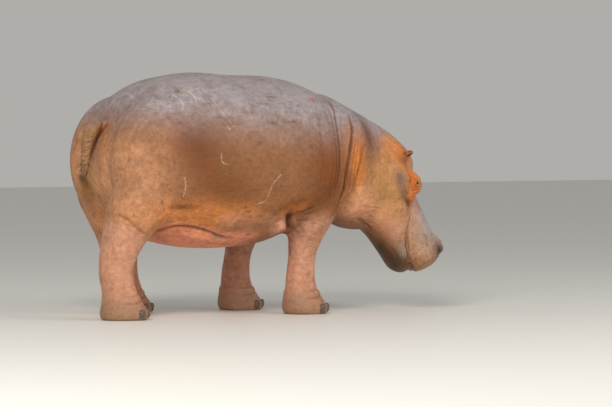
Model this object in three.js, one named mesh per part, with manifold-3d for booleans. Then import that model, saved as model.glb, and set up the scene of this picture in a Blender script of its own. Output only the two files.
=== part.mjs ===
// A grown hippopotamus standing with its head down, as if to drink. Millimetres, +Z up, the animal faces +X.
// It is shaped whole, from lofted sections and rounded swellings, and then parted with thin cuts into the
// pieces that a person would name. The origin is on the floor, under the middle of the animal's bounding box.
import * as THREE from "three";
import { mergeVertices } from "three/addons/utils/BufferGeometryUtils.js";
import Module from "manifold-3d";

const wasm = await Module();
wasm.setup();

// ---------------------------------------------------------------- driving sizes
const BACK_HEIGHT = 1420; // floor to the top of the back
const BELLY_HEIGHT = 394; // floor to the lowest point of the belly
const TRUNK_LENGTH = 1640; // rump to the front of the chest
const TRUNK_WIDTH = 1140; // at the widest point of the belly
const HEAD_LENGTH = 850; // back of the skull to the lips
const GAP = 0.3; // free space left between two pieces that touch
const CUT = 0.4; // width of the cuts that part the body

const LEFT = 1;
const RIGHT = -1;
const SIDES = { left: LEFT, right: RIGHT };
const degrees = THREE.MathUtils.degToRad;

// ---------------------------------------------------------------- curves, lofts and solids

// A smooth line through a few [place, value] points, level beyond its two ends.
function through(...points) {
  const last = points.length - 1;
  const slope = (i) => {
    const [before, after] = [points[Math.max(i - 1, 0)], points[Math.min(i + 1, last)]];
    return (after[1] - before[1]) / (after[0] - before[0]);
  };
  return (place) => {
    if (place <= points[0][0]) return points[0][1];
    if (place >= points[last][0]) return points[last][1];
    const i = points.findIndex((point) => point[0] > place) - 1;
    const width = points[i + 1][0] - points[i][0];
    const t = (place - points[i][0]) / width;
    const [t2, t3] = [t * t, t * t * t];
    return (
      points[i][1] * (2 * t3 - 3 * t2 + 1) +
      points[i + 1][1] * (3 * t2 - 2 * t3) +
      width * (slope(i) * (t3 - 2 * t2 + t) + slope(i + 1) * (t3 - t2))
    );
  };
}

// How wide a rounded end still is at a distance from its tip, from 0 to 1.
function roundedEnd(distance, radius, fullness) {
  const inward = THREE.MathUtils.clamp(1 - distance / radius, 0, 1);
  return Math.pow(1 - Math.pow(inward, fullness), 1 / fullness);
}

// Places from one end to the other, closer together towards both ends.
function places(from, to, count) {
  const share = (i) => (1 - Math.cos((Math.PI * (i + 0.35)) / (count - 0.3))) / 2;
  return Array.from({ length: count }, (_, i) => from + (to - from) * share(i));
}

// One section's outline: a squared oval with its own height above and below the widest line.
function outline(around, { left, up, down, fullness = 2, toes = 0 }) {
  return Array.from({ length: around }, (_, i) => {
    const angle = (2 * Math.PI * i) / around;
    const [c, s] = [Math.cos(angle), Math.sin(angle)];
    const oval = Math.pow(Math.abs(c) ** fullness + Math.abs(s) ** fullness, -1 / fullness);
    const reach = oval * (1 + toes * TOE_BULGE * toeLobes(angle));
    return [reach * c * left, reach * s * (s > 0 ? up : down)];
  });
}

// 1 at the middle of a toe and less away from it, all round the foot.
function toeLobes(angle) {
  const turned = Math.atan2(Math.sin(angle), Math.cos(angle));
  return TOES.reduce((most, toe) => Math.max(most, Math.exp(-(((turned - toe) / TOE_SPREAD) ** 2))), 0);
}

// A closed geometry through rings of points, with a fan over each end.
function loft(rings) {
  const around = rings[0].length;
  const position = rings.flat().flatMap((point) => point.toArray());
  const index = [];
  for (let ring = 0; ring + 1 < rings.length; ring++) {
    for (let i = 0; i < around; i++) {
      const [a, b] = [ring * around + i, ring * around + ((i + 1) % around)];
      index.push(a, b, b + around, a, b + around, a + around);
    }
  }
  for (const [ring, turned] of [[0, false], [rings.length - 1, true]]) {
    const middle = position.length / 3;
    const sum = rings[ring].reduce((total, point) => total.add(point), new THREE.Vector3());
    position.push(...sum.divideScalar(around).toArray());
    for (let i = 0; i < around; i++) {
      const [a, b] = [ring * around + i, ring * around + ((i + 1) % around)];
      index.push(...(turned ? [a, b, middle] : [b, a, middle]));
    }
  }
  return new THREE.BufferGeometry()
    .setAttribute("position", new THREE.Float32BufferAttribute(position, 3))
    .setIndex(index);
}

// Sections across local X, for the trunk, neck and head: y is to the left and z is up.
function alongX(stations, around, section, grow = 0) {
  return loft(
    stations.map((x) => {
      const { y = 0, middle, halfWidth, top, bottom, fullness } = section(x);
      const [up, down] = [top - middle + grow, middle - bottom + grow];
      const ring = outline(around, { left: halfWidth + grow, up, down, fullness });
      return ring.map(([across, high]) => new THREE.Vector3(x, y + across, middle + high));
    }),
  );
}

// Level sections from the top down, for a leg: each has its own middle and half sizes.
function downZ(stations, around, section, grow = 0) {
  return loft(
    stations.map((z) => {
      const { x, y, halfLength, halfWidth, fullness = 2.2, toes } = section(z);
      const [left, up] = [halfLength + grow, halfWidth + grow];
      return outline(around, { left, up, down: up, fullness, toes })
        .map(([along, across]) => new THREE.Vector3(x + along, y + across, z))
        .reverse();
    }),
  );
}

// An ellipsoid with its own three half sizes, and with a number of sides round it.
function swelling([x, y, z], [rx, ry, rz], { grow = 0, round }) {
  return new THREE.SphereGeometry(1, round, Math.round(round * 0.7))
    .rotateX(Math.PI / 2)
    .scale(rx + grow, ry + grow, rz + grow)
    .translate(x, y, z);
}

// A frame that looks forwards, turned to the left and then pitched down, in degrees.
function frame([x, y, z], turn, pitch) {
  return new THREE.Matrix4()
    .makeTranslation(x, y, z)
    .multiply(new THREE.Matrix4().makeRotationZ(degrees(turn)))
    .multiply(new THREE.Matrix4().makeRotationY(degrees(pitch)));
}

function solid(geometry, placed = new THREE.Matrix4()) {
  const bare = new THREE.BufferGeometry().setAttribute("position", geometry.getAttribute("position").clone());
  if (geometry.index) bare.setIndex(geometry.index.clone());
  const merged = mergeVertices(bare.applyMatrix4(placed), 1e-3);
  return new wasm.Manifold(
    new wasm.Mesh({
      numProp: 3,
      vertProperties: merged.getAttribute("position").array,
      triVerts: new Uint32Array(merged.index.array),
    }),
  );
}

const joined = (solids) => solids.reduce((whole, next) => whole.add(next));
const without = (whole, cutters) => cutters.reduce((left, cutter) => left.subtract(cutter), whole);

// ---------------------------------------------------------------- trunk
// Barrel body: level back, deep hanging belly, broad shoulders, and a haunch on each side of the tail.
const RUMP = 40; // the middle of the rump lies this far ahead of the haunches

const backLine = through(
  [0, 1345], [200, 1362], [400, 1386], [640, BACK_HEIGHT], [900, 1406],
  [1130, 1401], [1320, 1368], [1480, 1342], [TRUNK_LENGTH, 1260],
);
const bellyLine = through(
  [0, 640], [200, 510], [400, 436], [620, BELLY_HEIGHT], [900, BELLY_HEIGHT],
  [1060, 418], [1220, 485], [1400, 550], [1520, 600], [TRUNK_LENGTH, 690],
);
const trunkHalfWidth = through(
  [0, 0.42 * TRUNK_WIDTH], [300, 0.44 * TRUNK_WIDTH], [780, TRUNK_WIDTH / 2],
  [1120, 0.475 * TRUNK_WIDTH], [1400, 0.43 * TRUNK_WIDTH], [TRUNK_LENGTH, 0.38 * TRUNK_WIDTH],
);
const widestHeight = through([0, 920], [350, 880], [780, 800], [1150, 810], [TRUNK_LENGTH, 890]);

function trunkSection(x) {
  const chest = roundedEnd(TRUNK_LENGTH - x, 400, 2.2);
  const high = roundedEnd(x - RUMP, 420, 2.2) * chest;
  const wide = roundedEnd(x - RUMP, 430, 2.5) * chest;
  const middle = widestHeight(x);
  return {
    middle,
    halfWidth: trunkHalfWidth(x) * wide,
    top: middle + (backLine(x) - middle) * high,
    bottom: middle - (middle - bellyLine(x)) * high,
    fullness: 2.25,
  };
}

// Rounded forms that fill out each side of the trunk: [middle, half sizes].
const trunkSwellings = (side) => [
  [[330, side * 254, 905], [312, 226, 384]], // haunch
  [[1280, side * 302, 830], [205, 188, 340]], // shoulder and upper arm
];

function trunkForm(grow = 0) {
  const swellings = Object.values(SIDES).flatMap((side) =>
    trunkSwellings(side).map(([middle, half]) => solid(swelling(middle, half, { grow, round: 12 }))),
  );
  return joined([solid(alongX(places(RUMP, TRUNK_LENGTH, 18), 24, trunkSection, grow)), ...swellings]);
}

// ---------------------------------------------------------------- neck
// Short and thick. It bends down and a little to the right, towards the head.
const NECK_LENGTH = 850;
const NECK = frame([1200, -20, 925], -13, 15);

function neckSection(x) {
  const ends = roundedEnd(x, 240, 2.2) * roundedEnd(NECK_LENGTH - x, 250, 2.2);
  const top = through([0, 470], [150, 450], [340, 410], [480, 380], [600, 352], [NECK_LENGTH, 300])(x);
  const bottom = through([0, -300], [200, -270], [400, -268], [540, -300], [NECK_LENGTH, -250])(x);
  const halfWidth = through([0, 440], [300, 385], [500, 335], [650, 285], [NECK_LENGTH, 250])(x);
  const y = through([0, 0], [400, 15], [720, 60])(x);
  return { y, middle: 0, halfWidth: halfWidth * ends, top: top * ends, bottom: bottom * ends, fullness: 2.2 };
}
const neckForm = () => solid(alongX(places(0, NECK_LENGTH, 12), 24, neckSection), NECK);

// ---------------------------------------------------------------- head
// In its own frame: x runs from the back of the skull to the lips, z is up through the forehead.
const HEAD = frame([1925, -128, 1086], -26, 60);

const skullTop = through(
  [-120, -70], [0, -4], [80, 30], [180, 56], [250, 53], [310, 18], [430, -34],
  [570, -50], [690, -66], [760, -66], [HEAD_LENGTH, -96],
);
const skullBottom = through(
  [-120, -330], [100, -400], [300, -395], [430, -350], [560, -310], [HEAD_LENGTH, -300],
);
const skullHalfWidth = through(
  [-120, 185], [60, 235], [200, 240], [320, 208], [440, 172], [560, 168],
  [670, 205], [750, 226], [HEAD_LENGTH, 205],
);

function skullSection(x) {
  const ends = roundedEnd(x + 120, 90, 2) * roundedEnd(HEAD_LENGTH - x, 75, 2.4);
  const middle = through([-120, -200], [300, -215], [560, -215], [HEAD_LENGTH, -190])(x);
  return {
    middle,
    halfWidth: skullHalfWidth(x) * ends,
    top: middle + (skullTop(x) - middle) * ends,
    bottom: middle + (skullBottom(x) - middle) * ends,
    fullness: through([0, 2.1], [450, 2.3], [700, 2.7])(x),
  };
}

// The lower jaw: broad and fleshy at its angle, flush with the upper head along the mouth, with a blunt chin.
const JAW_START = 150;
const JAW_END = 805;
const jawBottom = through(
  [JAW_START, -410], [400, -438], [510, -414], [640, -402], [720, -398], [JAW_END, -380],
);
const jawHalfWidth = through(
  [JAW_START, 260], [300, 280], [420, 250], [520, 215], [640, 196], [740, 190], [JAW_END, 165],
);
const jawTop = through(
  [JAW_START, -160], [350, -90], [450, -70], [530, -100], [610, -160], [725, -225], [JAW_END, -260],
);

function jawSection(x) {
  const ends = roundedEnd(x - JAW_START, 160, 2) * roundedEnd(JAW_END - x, 80, 2.3);
  const middle = through([JAW_START, -280], [450, -265], [600, -285], [JAW_END, -315])(x);
  return {
    middle,
    halfWidth: jawHalfWidth(x) * ends,
    top: middle + (jawTop(x) - middle) * ends,
    bottom: middle + (jawBottom(x) - middle) * ends,
    fullness: 2.4,
  };
}

// Rounded forms that stand out of the head on each side: [middle, half sizes].
const headSwellings = (side) => [
  [[352, side * 116, -32], [80, 68, 60]], // eye socket
  [[160, side * 148, -20], [66, 58, 54]], // root of the ear
  [[235, side * 175, -200], [200, 115, 185]], // chewing muscle of the cheek
  [[330, side * 138, -96], [125, 70, 66]], // cheek bone
  [[742, side * 82, -82], [70, 44, 32]], // nostril
  [[735, side * 142, -215], [94, 96, 96]], // pad of the upper lip, over the tusk
];

function headForm(grow = 0) {
  const swellings = Object.values(SIDES).flatMap((side) =>
    headSwellings(side).map(([middle, half]) => solid(swelling(middle, half, { grow, round: 10 }), HEAD)),
  );
  return joined([
    solid(alongX(places(-120, HEAD_LENGTH, 16), 22, skullSection, grow), HEAD),
    solid(alongX(places(JAW_START, JAW_END, 8), 18, jawSection, grow), HEAD),
    ...swellings,
  ]);
}

// ---------------------------------------------------------------- legs
// Pillars that leave the body low down. Each has how far across it stands, how far its foot is stepped ahead,
// and the cut that parts it from the body: its height, and the way in which the cut slopes down.
const HIND_LEGS = {
  right: { across: 258, step: -48, cut: 495, downhill: 45 },
  left: { across: 285, step: 270, cut: 455, downhill: -35 },
};
const FORE_LEGS = {
  right: { across: 265, step: 10, cut: 465, downhill: 150 },
  left: { across: 285, step: -115, cut: 425, downhill: -150 },
};
const STEP_ROOT = 960; // the step moves the foot, and less and less of the leg up to this height
const FOOT_HEIGHT = 100;
const ANKLE = FOOT_HEIGHT + GAP;
const HIND_STATIONS = [860, 760, 660, 580, 510, 440, 360, 280, 200, 140, ANKLE];
const FORE_STATIONS = [800, 690, 600, 530, 460, 400, 340, 270, 200, 140, ANKLE];

// Each leg's middle along the body, its half sizes at each height, and how far its root lies outside it.
const hind = {
  along: through(
    [0, 128], [100, 118], [240, 82], [340, 86], [460, 124], [580, 178], [720, 240], [860, 290],
  ),
  halfLength: through(
    [100, 116], [150, 102], [240, 98], [340, 104], [460, 130], [580, 180], [720, 218], [860, 150],
  ),
  halfWidth: through(
    [100, 108], [150, 96], [240, 94], [340, 106], [460, 130], [580, 156], [720, 168], [860, 120],
  ),
  lean: 25,
};
const fore = {
  along: through(
    [0, 1275], [100, 1258], [200, 1244], [340, 1256], [480, 1285], [600, 1312], [800, 1320],
  ),
  halfLength: through(
    [100, 112], [150, 94], [230, 84], [340, 80], [430, 96], [530, 124], [650, 145], [800, 110],
  ),
  halfWidth: through(
    [100, 106], [150, 90], [230, 82], [340, 82], [440, 102], [540, 128], [650, 140], [800, 100],
  ),
  lean: 60,
};

const legSection = (shape, side, { across, step }) => (z) => ({
  x: shape.along(z) + step * THREE.MathUtils.smoothstep(STEP_ROOT - z, 0, 0.75 * STEP_ROOT),
  y: side * (across + shape.lean * THREE.MathUtils.smoothstep(z, 350, 760)),
  halfLength: shape.halfLength(z),
  halfWidth: shape.halfWidth(z),
});

function makeLegs(end, shape, stations, stances) {
  return Object.entries(SIDES).map(([name, side]) => {
    const stance = stances[name];
    return { name: `${end}_${name}`, stations, section: legSection(shape, side, stance), ...stance };
  });
}
const legs = [
  ...makeLegs("hind", hind, HIND_STATIONS, HIND_LEGS),
  ...makeLegs("fore", fore, FORE_STATIONS, FORE_LEGS),
];
const legForm = ({ stations, section }) => solid(downZ(stations, 18, section));

// ---------------------------------------------------------------- feet
// Broad and flat below, with four toes round the front that each end in a nail like a small hoof.
const TOES = [-66, -23, 23, 66].map(degrees); // round the foot, from straight ahead
const TOE_SPREAD = degrees(15);
const TOE_BULGE = 0.09; // how far a toe stands out, as a share of the foot's half size
const footSize = through([0, 1.07], [14, 1.13], [38, 1.15], [66, 1.1], [FOOT_HEIGHT, 1]);
const toeShare = through([0, 0.8], [30, 1], [60, 0.75], [FOOT_HEIGHT, 0]);

function footForm({ section }, grow = 0) {
  const top = section(ANKLE);
  return solid(
    downZ([FOOT_HEIGHT, 72, 40, 12, 0], 24, (z) => ({
      x: section(z).x,
      y: top.y,
      halfLength: top.halfLength * footSize(z),
      halfWidth: top.halfWidth * footSize(z),
      toes: toeShare(z),
    }), grow),
  );
}

const NAIL_HALF = [20, 24, 28]; // into the toe, across it and up it
const NAIL_HEIGHT = 34;
const NAIL_DEPTH = 10; // its middle is this far inside the toe's tip
function nailForm(leg, toe) {
  const { section } = leg;
  const top = section(ANKLE);
  const reach = footSize(NAIL_HEIGHT) * (1 + TOE_BULGE);
  const place = new THREE.Matrix4()
    .makeTranslation(
      section(NAIL_HEIGHT).x + reach * top.halfLength * Math.cos(toe),
      top.y + reach * top.halfWidth * Math.sin(toe),
      NAIL_HEIGHT,
    )
    .multiply(new THREE.Matrix4().makeRotationZ(toe));
  const nail = swelling([-NAIL_DEPTH, 0, 0], NAIL_HALF, { round: 7 });
  return solid(nail, place).subtract(footForm(leg, GAP));
}

// ---------------------------------------------------------------- ears, eyes and tail
const EAR_LENGTH = 82;
const earFrame = (side) =>
  HEAD.clone()
    .multiply(new THREE.Matrix4().makeTranslation(194, side * 156, -15))
    .multiply(new THREE.Matrix4().makeRotationX(degrees(-side * 16)))
    .multiply(new THREE.Matrix4().makeRotationY(degrees(-3)))
    .multiply(new THREE.Matrix4().makeRotationZ(degrees(side * 28)));

// A small upright ear: a stalk that opens into a cupped leaf.
function earForm(side) {
  const halfWidth = through([0, 24], [26, 27], [50, 34], [70, 27], [EAR_LENGTH, 9]);
  const halfThickness = through([0, 22], [35, 18], [60, 12], [EAR_LENGTH, 5]);
  const leaf = downZ([EAR_LENGTH, 78, 66, 50, 30, 12, 0], 10, (z) => ({
    x: -8 + z * 0.05, y: 0, halfLength: halfThickness(z), halfWidth: halfWidth(z), fullness: 2,
  }));
  const cup = swelling([19, 0, 52], [22, 22, 28], { round: 9 });
  return solid(leaf, earFrame(side)).subtract(solid(cup, earFrame(side)));
}

const EYE_RADIUS = 23;
function eyeForm(side, grow = 0) {
  const ball = new THREE.SphereGeometry(EYE_RADIUS + grow, 12, 8).translate(366, side * 164, -8);
  return solid(ball, HEAD);
}

// The tail hangs in the cleft of the rump: thick at its root and flattened towards its end.
const TAIL_ROOT = 1140;
const TAIL_END = 818;
function tailForm() {
  const along = through([TAIL_END, -36], [900, -34], [1000, -20], [1080, 8], [TAIL_ROOT, 50]);
  const halfLength = through([TAIL_END, 18], [890, 22], [1000, 30], [1080, 42], [TAIL_ROOT, 52]);
  const halfWidth = through([TAIL_END, 22], [850, 31], [960, 36], [1060, 50], [TAIL_ROOT, 62]);
  const section = (z) => {
    const end = roundedEnd(z - TAIL_END, 40, 2) * roundedEnd(TAIL_ROOT - z, 40, 2);
    return { x: along(z), y: 0, halfLength: halfLength(z) * end, halfWidth: halfWidth(z) * end };
  };
  return solid(downZ(places(TAIL_ROOT, TAIL_END, 11), 12, section));
}

// ---------------------------------------------------------------- the whole body, parted
const whole = () => joined([trunkForm(), neckForm(), headForm(), ...legs.map(legForm)]);

// A flat cut, square to a frame's x, that is as wide as it is high.
const slab = (placed, across) => solid(new THREE.BoxGeometry(CUT, across, across), placed);
const [NECK_CUT, HEAD_CUT, LEG_CUT] = [1100, 860, 370];
const LEG_CUT_SLOPE = -72;

// The mouth line from the lips back to its corner, then down behind the jaw.
const MOUTH_LINE = [
  [HEAD_LENGTH + 60, -300], [725, -263], [610, -200], [533, -137], [450, -106], [385, -520],
];
const MOUTH_CUT = 700; // from side to side, wider than the head

function jawCut() {
  const strips = MOUTH_LINE.slice(1).map(([toX, toZ], i) => {
    const [fromX, fromZ] = MOUTH_LINE[i];
    const length = Math.hypot(toX - fromX, toZ - fromZ) + CUT;
    const strip = new THREE.BoxGeometry(length, MOUTH_CUT, CUT)
      .rotateY(-Math.atan2(toZ - fromZ, toX - fromX))
      .translate((fromX + toX) / 2, 0, (fromZ + toZ) / 2);
    return solid(strip, HEAD);
  });
  return joined(strips);
}

const cuts = [
  slab(frame([1500, -20, 920], -8, 0), NECK_CUT), // trunk from neck
  slab(frame([1850, -108, 810], -26, 20), HEAD_CUT), // neck from head
  jawCut(),
  ...legs.map(({ section, cut, downhill }) => {
    const { x, y } = section(cut);
    return slab(frame([x, y, cut], downhill, LEG_CUT_SLOPE), LEG_CUT);
  }),
];

const skinFinish = new THREE.MeshStandardMaterial({ color: "#8f6a5a", roughness: 0.55, metalness: 0 });
const eyeFinish = new THREE.MeshStandardMaterial({ color: "#2a1a12", roughness: 0.12, metalness: 0 });
const nailFinish = new THREE.MeshStandardMaterial({ color: "#4b4038", roughness: 0.6, metalness: 0 });
const group = new THREE.Group();

function add(name, made, material) {
  const mesh = made.getMesh();
  const geometry = new THREE.BufferGeometry()
    .setAttribute("position", new THREE.Float32BufferAttribute(mesh.vertProperties, 3))
    .setIndex(Array.from(mesh.triVerts));
  geometry.computeVertexNormals();
  const named = new THREE.Mesh(geometry, material);
  named.name = name;
  group.add(named);
}

const sockets = Object.values(SIDES).map((side) => eyeForm(side, GAP));
const pieces = without(whole(), [...cuts, ...sockets]).decompose();

// The piece whose box is centred nearest to a point.
function pieceNear(x, y, z) {
  const target = new THREE.Vector3(x, y, z);
  const far = (piece) => {
    const { min, max } = piece.boundingBox();
    return new THREE.Vector3(...min).add(new THREE.Vector3(...max)).divideScalar(2).distanceTo(target);
  };
  return pieces.reduce((best, piece) => (far(piece) < far(best) ? piece : best));
}
const inHead = (...place) => new THREE.Vector3(...place).applyMatrix4(HEAD).toArray();

add("trunk", pieceNear(750, 0, 950), skinFinish);
add("neck", pieceNear(1680, -60, 880), skinFinish);
add("head", pieceNear(...inHead(360, 0, -170)), skinFinish);
add("lower_jaw", pieceNear(...inHead(600, 0, -330)), skinFinish);
for (const leg of legs) {
  const { x, y } = leg.section(280);
  add(`leg_${leg.name}`, pieceNear(x, y, 280), skinFinish);
  add(`foot_${leg.name}`, footForm(leg), skinFinish);
  TOES.forEach((toe, i) => add(`nail_${leg.name}_${i + 1}`, nailForm(leg, toe), nailFinish));
}
for (const [name, side] of Object.entries(SIDES)) {
  add(`ear_${name}`, earForm(side).subtract(headForm(GAP)), skinFinish);
  add(`eye_${name}`, eyeForm(side), eyeFinish);
}
add("tail", tailForm().subtract(trunkForm(GAP)), skinFinish);

const box = new THREE.Box3().setFromObject(group);
const centre = box.getCenter(new THREE.Vector3());
group.position.set(-centre.x, -centre.y, -box.min.z);

export default group;
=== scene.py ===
import math

import bmesh
import bpy
import numpy as np
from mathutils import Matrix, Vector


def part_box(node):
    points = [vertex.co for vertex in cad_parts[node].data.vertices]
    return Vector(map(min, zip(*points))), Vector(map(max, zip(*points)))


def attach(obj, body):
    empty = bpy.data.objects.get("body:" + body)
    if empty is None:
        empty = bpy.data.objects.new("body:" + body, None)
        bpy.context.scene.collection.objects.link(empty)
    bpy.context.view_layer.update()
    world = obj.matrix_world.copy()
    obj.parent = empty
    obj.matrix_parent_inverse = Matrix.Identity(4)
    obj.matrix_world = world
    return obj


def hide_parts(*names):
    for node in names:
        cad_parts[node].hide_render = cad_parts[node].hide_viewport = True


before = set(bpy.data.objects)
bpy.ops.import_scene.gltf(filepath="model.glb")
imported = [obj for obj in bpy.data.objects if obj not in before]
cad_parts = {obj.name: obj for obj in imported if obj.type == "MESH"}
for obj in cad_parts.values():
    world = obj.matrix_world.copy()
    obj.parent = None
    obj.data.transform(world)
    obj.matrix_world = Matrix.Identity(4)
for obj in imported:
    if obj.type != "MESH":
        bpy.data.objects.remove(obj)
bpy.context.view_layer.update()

# ---------------------------------------------------------------- trunk
# The barrel of ribs, belly and hips under the hide, from the root of the tail to the chest.
# It is laid out along the back: X is forward from the rump, Y is to the left, Z is up from the floor.
BACK, BELLY = 1.42, 0.394
RUMP, TRUNK_LENGTH, TRUNK_HALF = 0.04, 1.64, 0.57


def line(at, *points):
    """A smooth line through a few (place, value) points: a cubic between each two, level beyond the ends."""
    place, value = np.array(points, float).T
    last = len(place) - 1
    i = np.arange(last + 1)
    before, after = np.maximum(i - 1, 0), np.minimum(i + 1, last)
    slope = (value[after] - value[before]) / (place[after] - place[before])
    at = np.clip(at, place[0], place[-1])
    k = np.clip(np.searchsorted(place, at, side="right") - 1, 0, last - 1)
    width = place[k + 1] - place[k]
    t = (at - place[k]) / width
    ends = value[k] * (2 * t**3 - 3 * t**2 + 1) + value[k + 1] * (3 * t**2 - 2 * t**3)
    return ends + width * (slope[k] * (t**3 - 2 * t**2 + t) + slope[k + 1] * (t**3 - t**2))


def rounded(distance, radius, fullness):
    """How wide a rounded end is at a distance from its tip, from 0 to 1: a quarter of a superellipse."""
    inward = np.clip(1 - distance / radius, 0, 1)
    return (1 - inward**fullness) ** (1 / fullness)


def stations(start, end, count):
    """Places from one end to the other, closer together towards both ends, as a cosine spaces them."""
    share = (1 - np.cos(np.pi * (np.arange(count) + 0.2) / (count - 0.6))) / 2
    return start + (end - start) * np.clip(share, 0.0004, 0.9996)


def squared_oval(angle, left, up, down, fullness):
    """Across and high of a superellipse: cosine and sine scaled to |c|^n + |s|^n = 1, up unlike down."""
    c, s = np.cos(angle), np.sin(angle)
    reach = (np.abs(c) ** fullness + np.abs(s) ** fullness) ** (-1 / fullness)
    return reach * c * left, reach * s * np.where(s > 0, up, down)


def closed_loft(rings):
    """Vertices and faces of a surface through equal rings, with a fan of triangles over each end."""
    count, around = rings.shape[:2]
    ring = np.arange(count - 1)[:, None] * around
    i = np.arange(around)[None, :]
    j = (i + 1) % around
    quads = np.stack([ring + i, ring + j, ring + j + around, ring + i + around], -1).reshape(-1, 4)
    start, end = count * around, count * around + 1
    i, j = i[0], j[0]
    last = (count - 1) * around
    first_fan = np.stack([j, i, np.full(around, start)], -1)
    last_fan = np.stack([last + i, last + j, np.full(around, end)], -1)
    faces = [*quads.tolist(), *first_fan.tolist(), *last_fan.tolist()]
    return np.vstack([rings.reshape(-1, 3), rings[0].mean(0), rings[-1].mean(0)]), faces


def sections_along(x, middle, half, top, bottom, fullness, high, wide=None, y=0.0):
    """A loft along X: at each place a squared oval with its widest height, its top and its bottom. Both ends
    are rounded: top and bottom are drawn in towards the middle by the share high, and the sides by wide."""
    half = half * (high if wide is None else wide)
    top, bottom = middle + (top - middle) * high, middle + (bottom - middle) * high
    rows = [np.broadcast_to(v, x.shape)[:, None] for v in (middle, half, top, bottom, fullness, y, x)]
    middle, half, top, bottom, fullness, y, x = rows
    angle = np.linspace(0, 2 * np.pi, 96, endpoint=False)[None, :]
    across, above = squared_oval(angle, half, top - middle, middle - bottom, fullness)
    return closed_loft(np.stack([np.broadcast_to(x, across.shape), y + across, middle + above], -1))


def ellipsoid(middle, half, around=40):
    """A sphere's grid of longitude and latitude, stretched to three half sizes."""
    polar = (np.arange(around // 2) + 0.5) / (around // 2) * np.pi
    turn = np.linspace(0, 2 * np.pi, around, endpoint=False)
    polar, turn = np.meshgrid(polar, turn, indexing="ij")
    unit = np.stack([np.cos(polar), np.sin(polar) * np.cos(turn), np.sin(polar) * np.sin(turn)], -1)
    vertices, faces = closed_loft(unit[::-1])
    return vertices * half + middle, faces


def trunk():
    """Back line, belly line and half width along X, closed by rounded ends at the rump and at the chest."""
    x = stations(RUMP, TRUNK_LENGTH, 90)
    back = line(
        x, (0, 1.345), (0.2, 1.362), (0.4, 1.386), (0.64, BACK), (0.9, 1.406),
        (1.13, 1.401), (1.32, 1.368), (1.48, 1.342), (TRUNK_LENGTH, 1.26),
    )
    belly = line(
        x, (0, 0.64), (0.2, 0.51), (0.4, 0.436), (0.62, BELLY), (0.9, BELLY),
        (1.06, 0.418), (1.22, 0.485), (1.4, 0.55), (1.52, 0.6), (TRUNK_LENGTH, 0.69),
    )
    half = TRUNK_HALF * line(
        x, (0, 0.84), (0.3, 0.88), (0.78, 1), (1.12, 0.95), (1.4, 0.86), (TRUNK_LENGTH, 0.76)
    )
    middle = line(x, (0, 0.92), (0.35, 0.88), (0.78, 0.8), (1.15, 0.81), (TRUNK_LENGTH, 0.89))
    chest = rounded(TRUNK_LENGTH - x, 0.4, 2.2)
    high = rounded(x - RUMP, 0.42, 2.2) * chest
    wide = rounded(x - RUMP, 0.43, 2.5) * chest
    return sections_along(x, middle, half, back, belly, 2.25, high, wide)


SIDES = {"left": 1, "right": -1}
body_forms = [trunk()]
for side in SIDES.values():
    body_forms.append(ellipsoid((0.33, side * 0.254, 0.905), (0.312, 0.226, 0.384)))  # haunch
    body_forms.append(ellipsoid((1.28, side * 0.302, 0.83), (0.205, 0.188, 0.34)))  # shoulder and upper arm


# ---------------------------------------------------------------- neck
# Short and thick, all muscle, and as wide as the shoulders where it leaves the chest.
# It bends down and a little to the right.
def placing(origin, turn, pitch):
    """A part's own frame: its origin, and forward, left and up after a turn left and a pitch down."""
    t, p = math.radians(turn), math.radians(pitch)
    forward = (math.cos(p) * math.cos(t), math.cos(p) * math.sin(t), -math.sin(p))
    left = (-math.sin(t), math.cos(t), 0)
    up = (math.sin(p) * math.cos(t), math.sin(p) * math.sin(t), math.cos(p))
    return np.array(origin), np.array([forward, left, up])


def put(shape, place):
    """A shape moved from a part's own frame to the body's."""
    origin, axes = place
    return origin + shape[0] @ axes, shape[1]


NECK = placing((1.2, -0.02, 0.925), -13, 15)
NECK_LENGTH = 0.85


def neck():
    """A loft along the neck whose top drops towards the skull, rounded off inside the chest and the head."""
    x = stations(0, NECK_LENGTH, 60)
    ends = rounded(x, 0.24, 2.2) * rounded(NECK_LENGTH - x, 0.25, 2.2)
    top = line(x, (0, 0.47), (0.15, 0.45), (0.34, 0.41), (0.48, 0.38), (0.6, 0.352), (NECK_LENGTH, 0.3))
    bottom = line(x, (0, -0.3), (0.2, -0.27), (0.4, -0.268), (0.54, -0.3), (NECK_LENGTH, -0.25))
    half = line(x, (0, 0.44), (0.3, 0.385), (0.5, 0.335), (0.65, 0.285), (NECK_LENGTH, 0.25))
    y = line(x, (0, 0), (0.4, 0.015), (0.72, 0.06), (NECK_LENGTH, 0.07))
    return sections_along(x, 0.0, half, top, bottom, 2.2, ends, y=y)


body_forms.append(put(neck(), NECK))

# ---------------------------------------------------------------- head
# Long skull with raised eye sockets, a broad muzzle and a deep jaw, closed at the mouth.
# In its own frame x runs from the back of the skull to the lips, y is to its left, z out of the forehead.
HEAD = placing((1.925, -0.128, 1.086), -26, 60)
HEAD_LENGTH = 0.85
JAW_START, JAW_END = 0.15, 0.805
EYE, EYE_RADIUS = (0.366, 0.164, -0.008), 0.023


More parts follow.
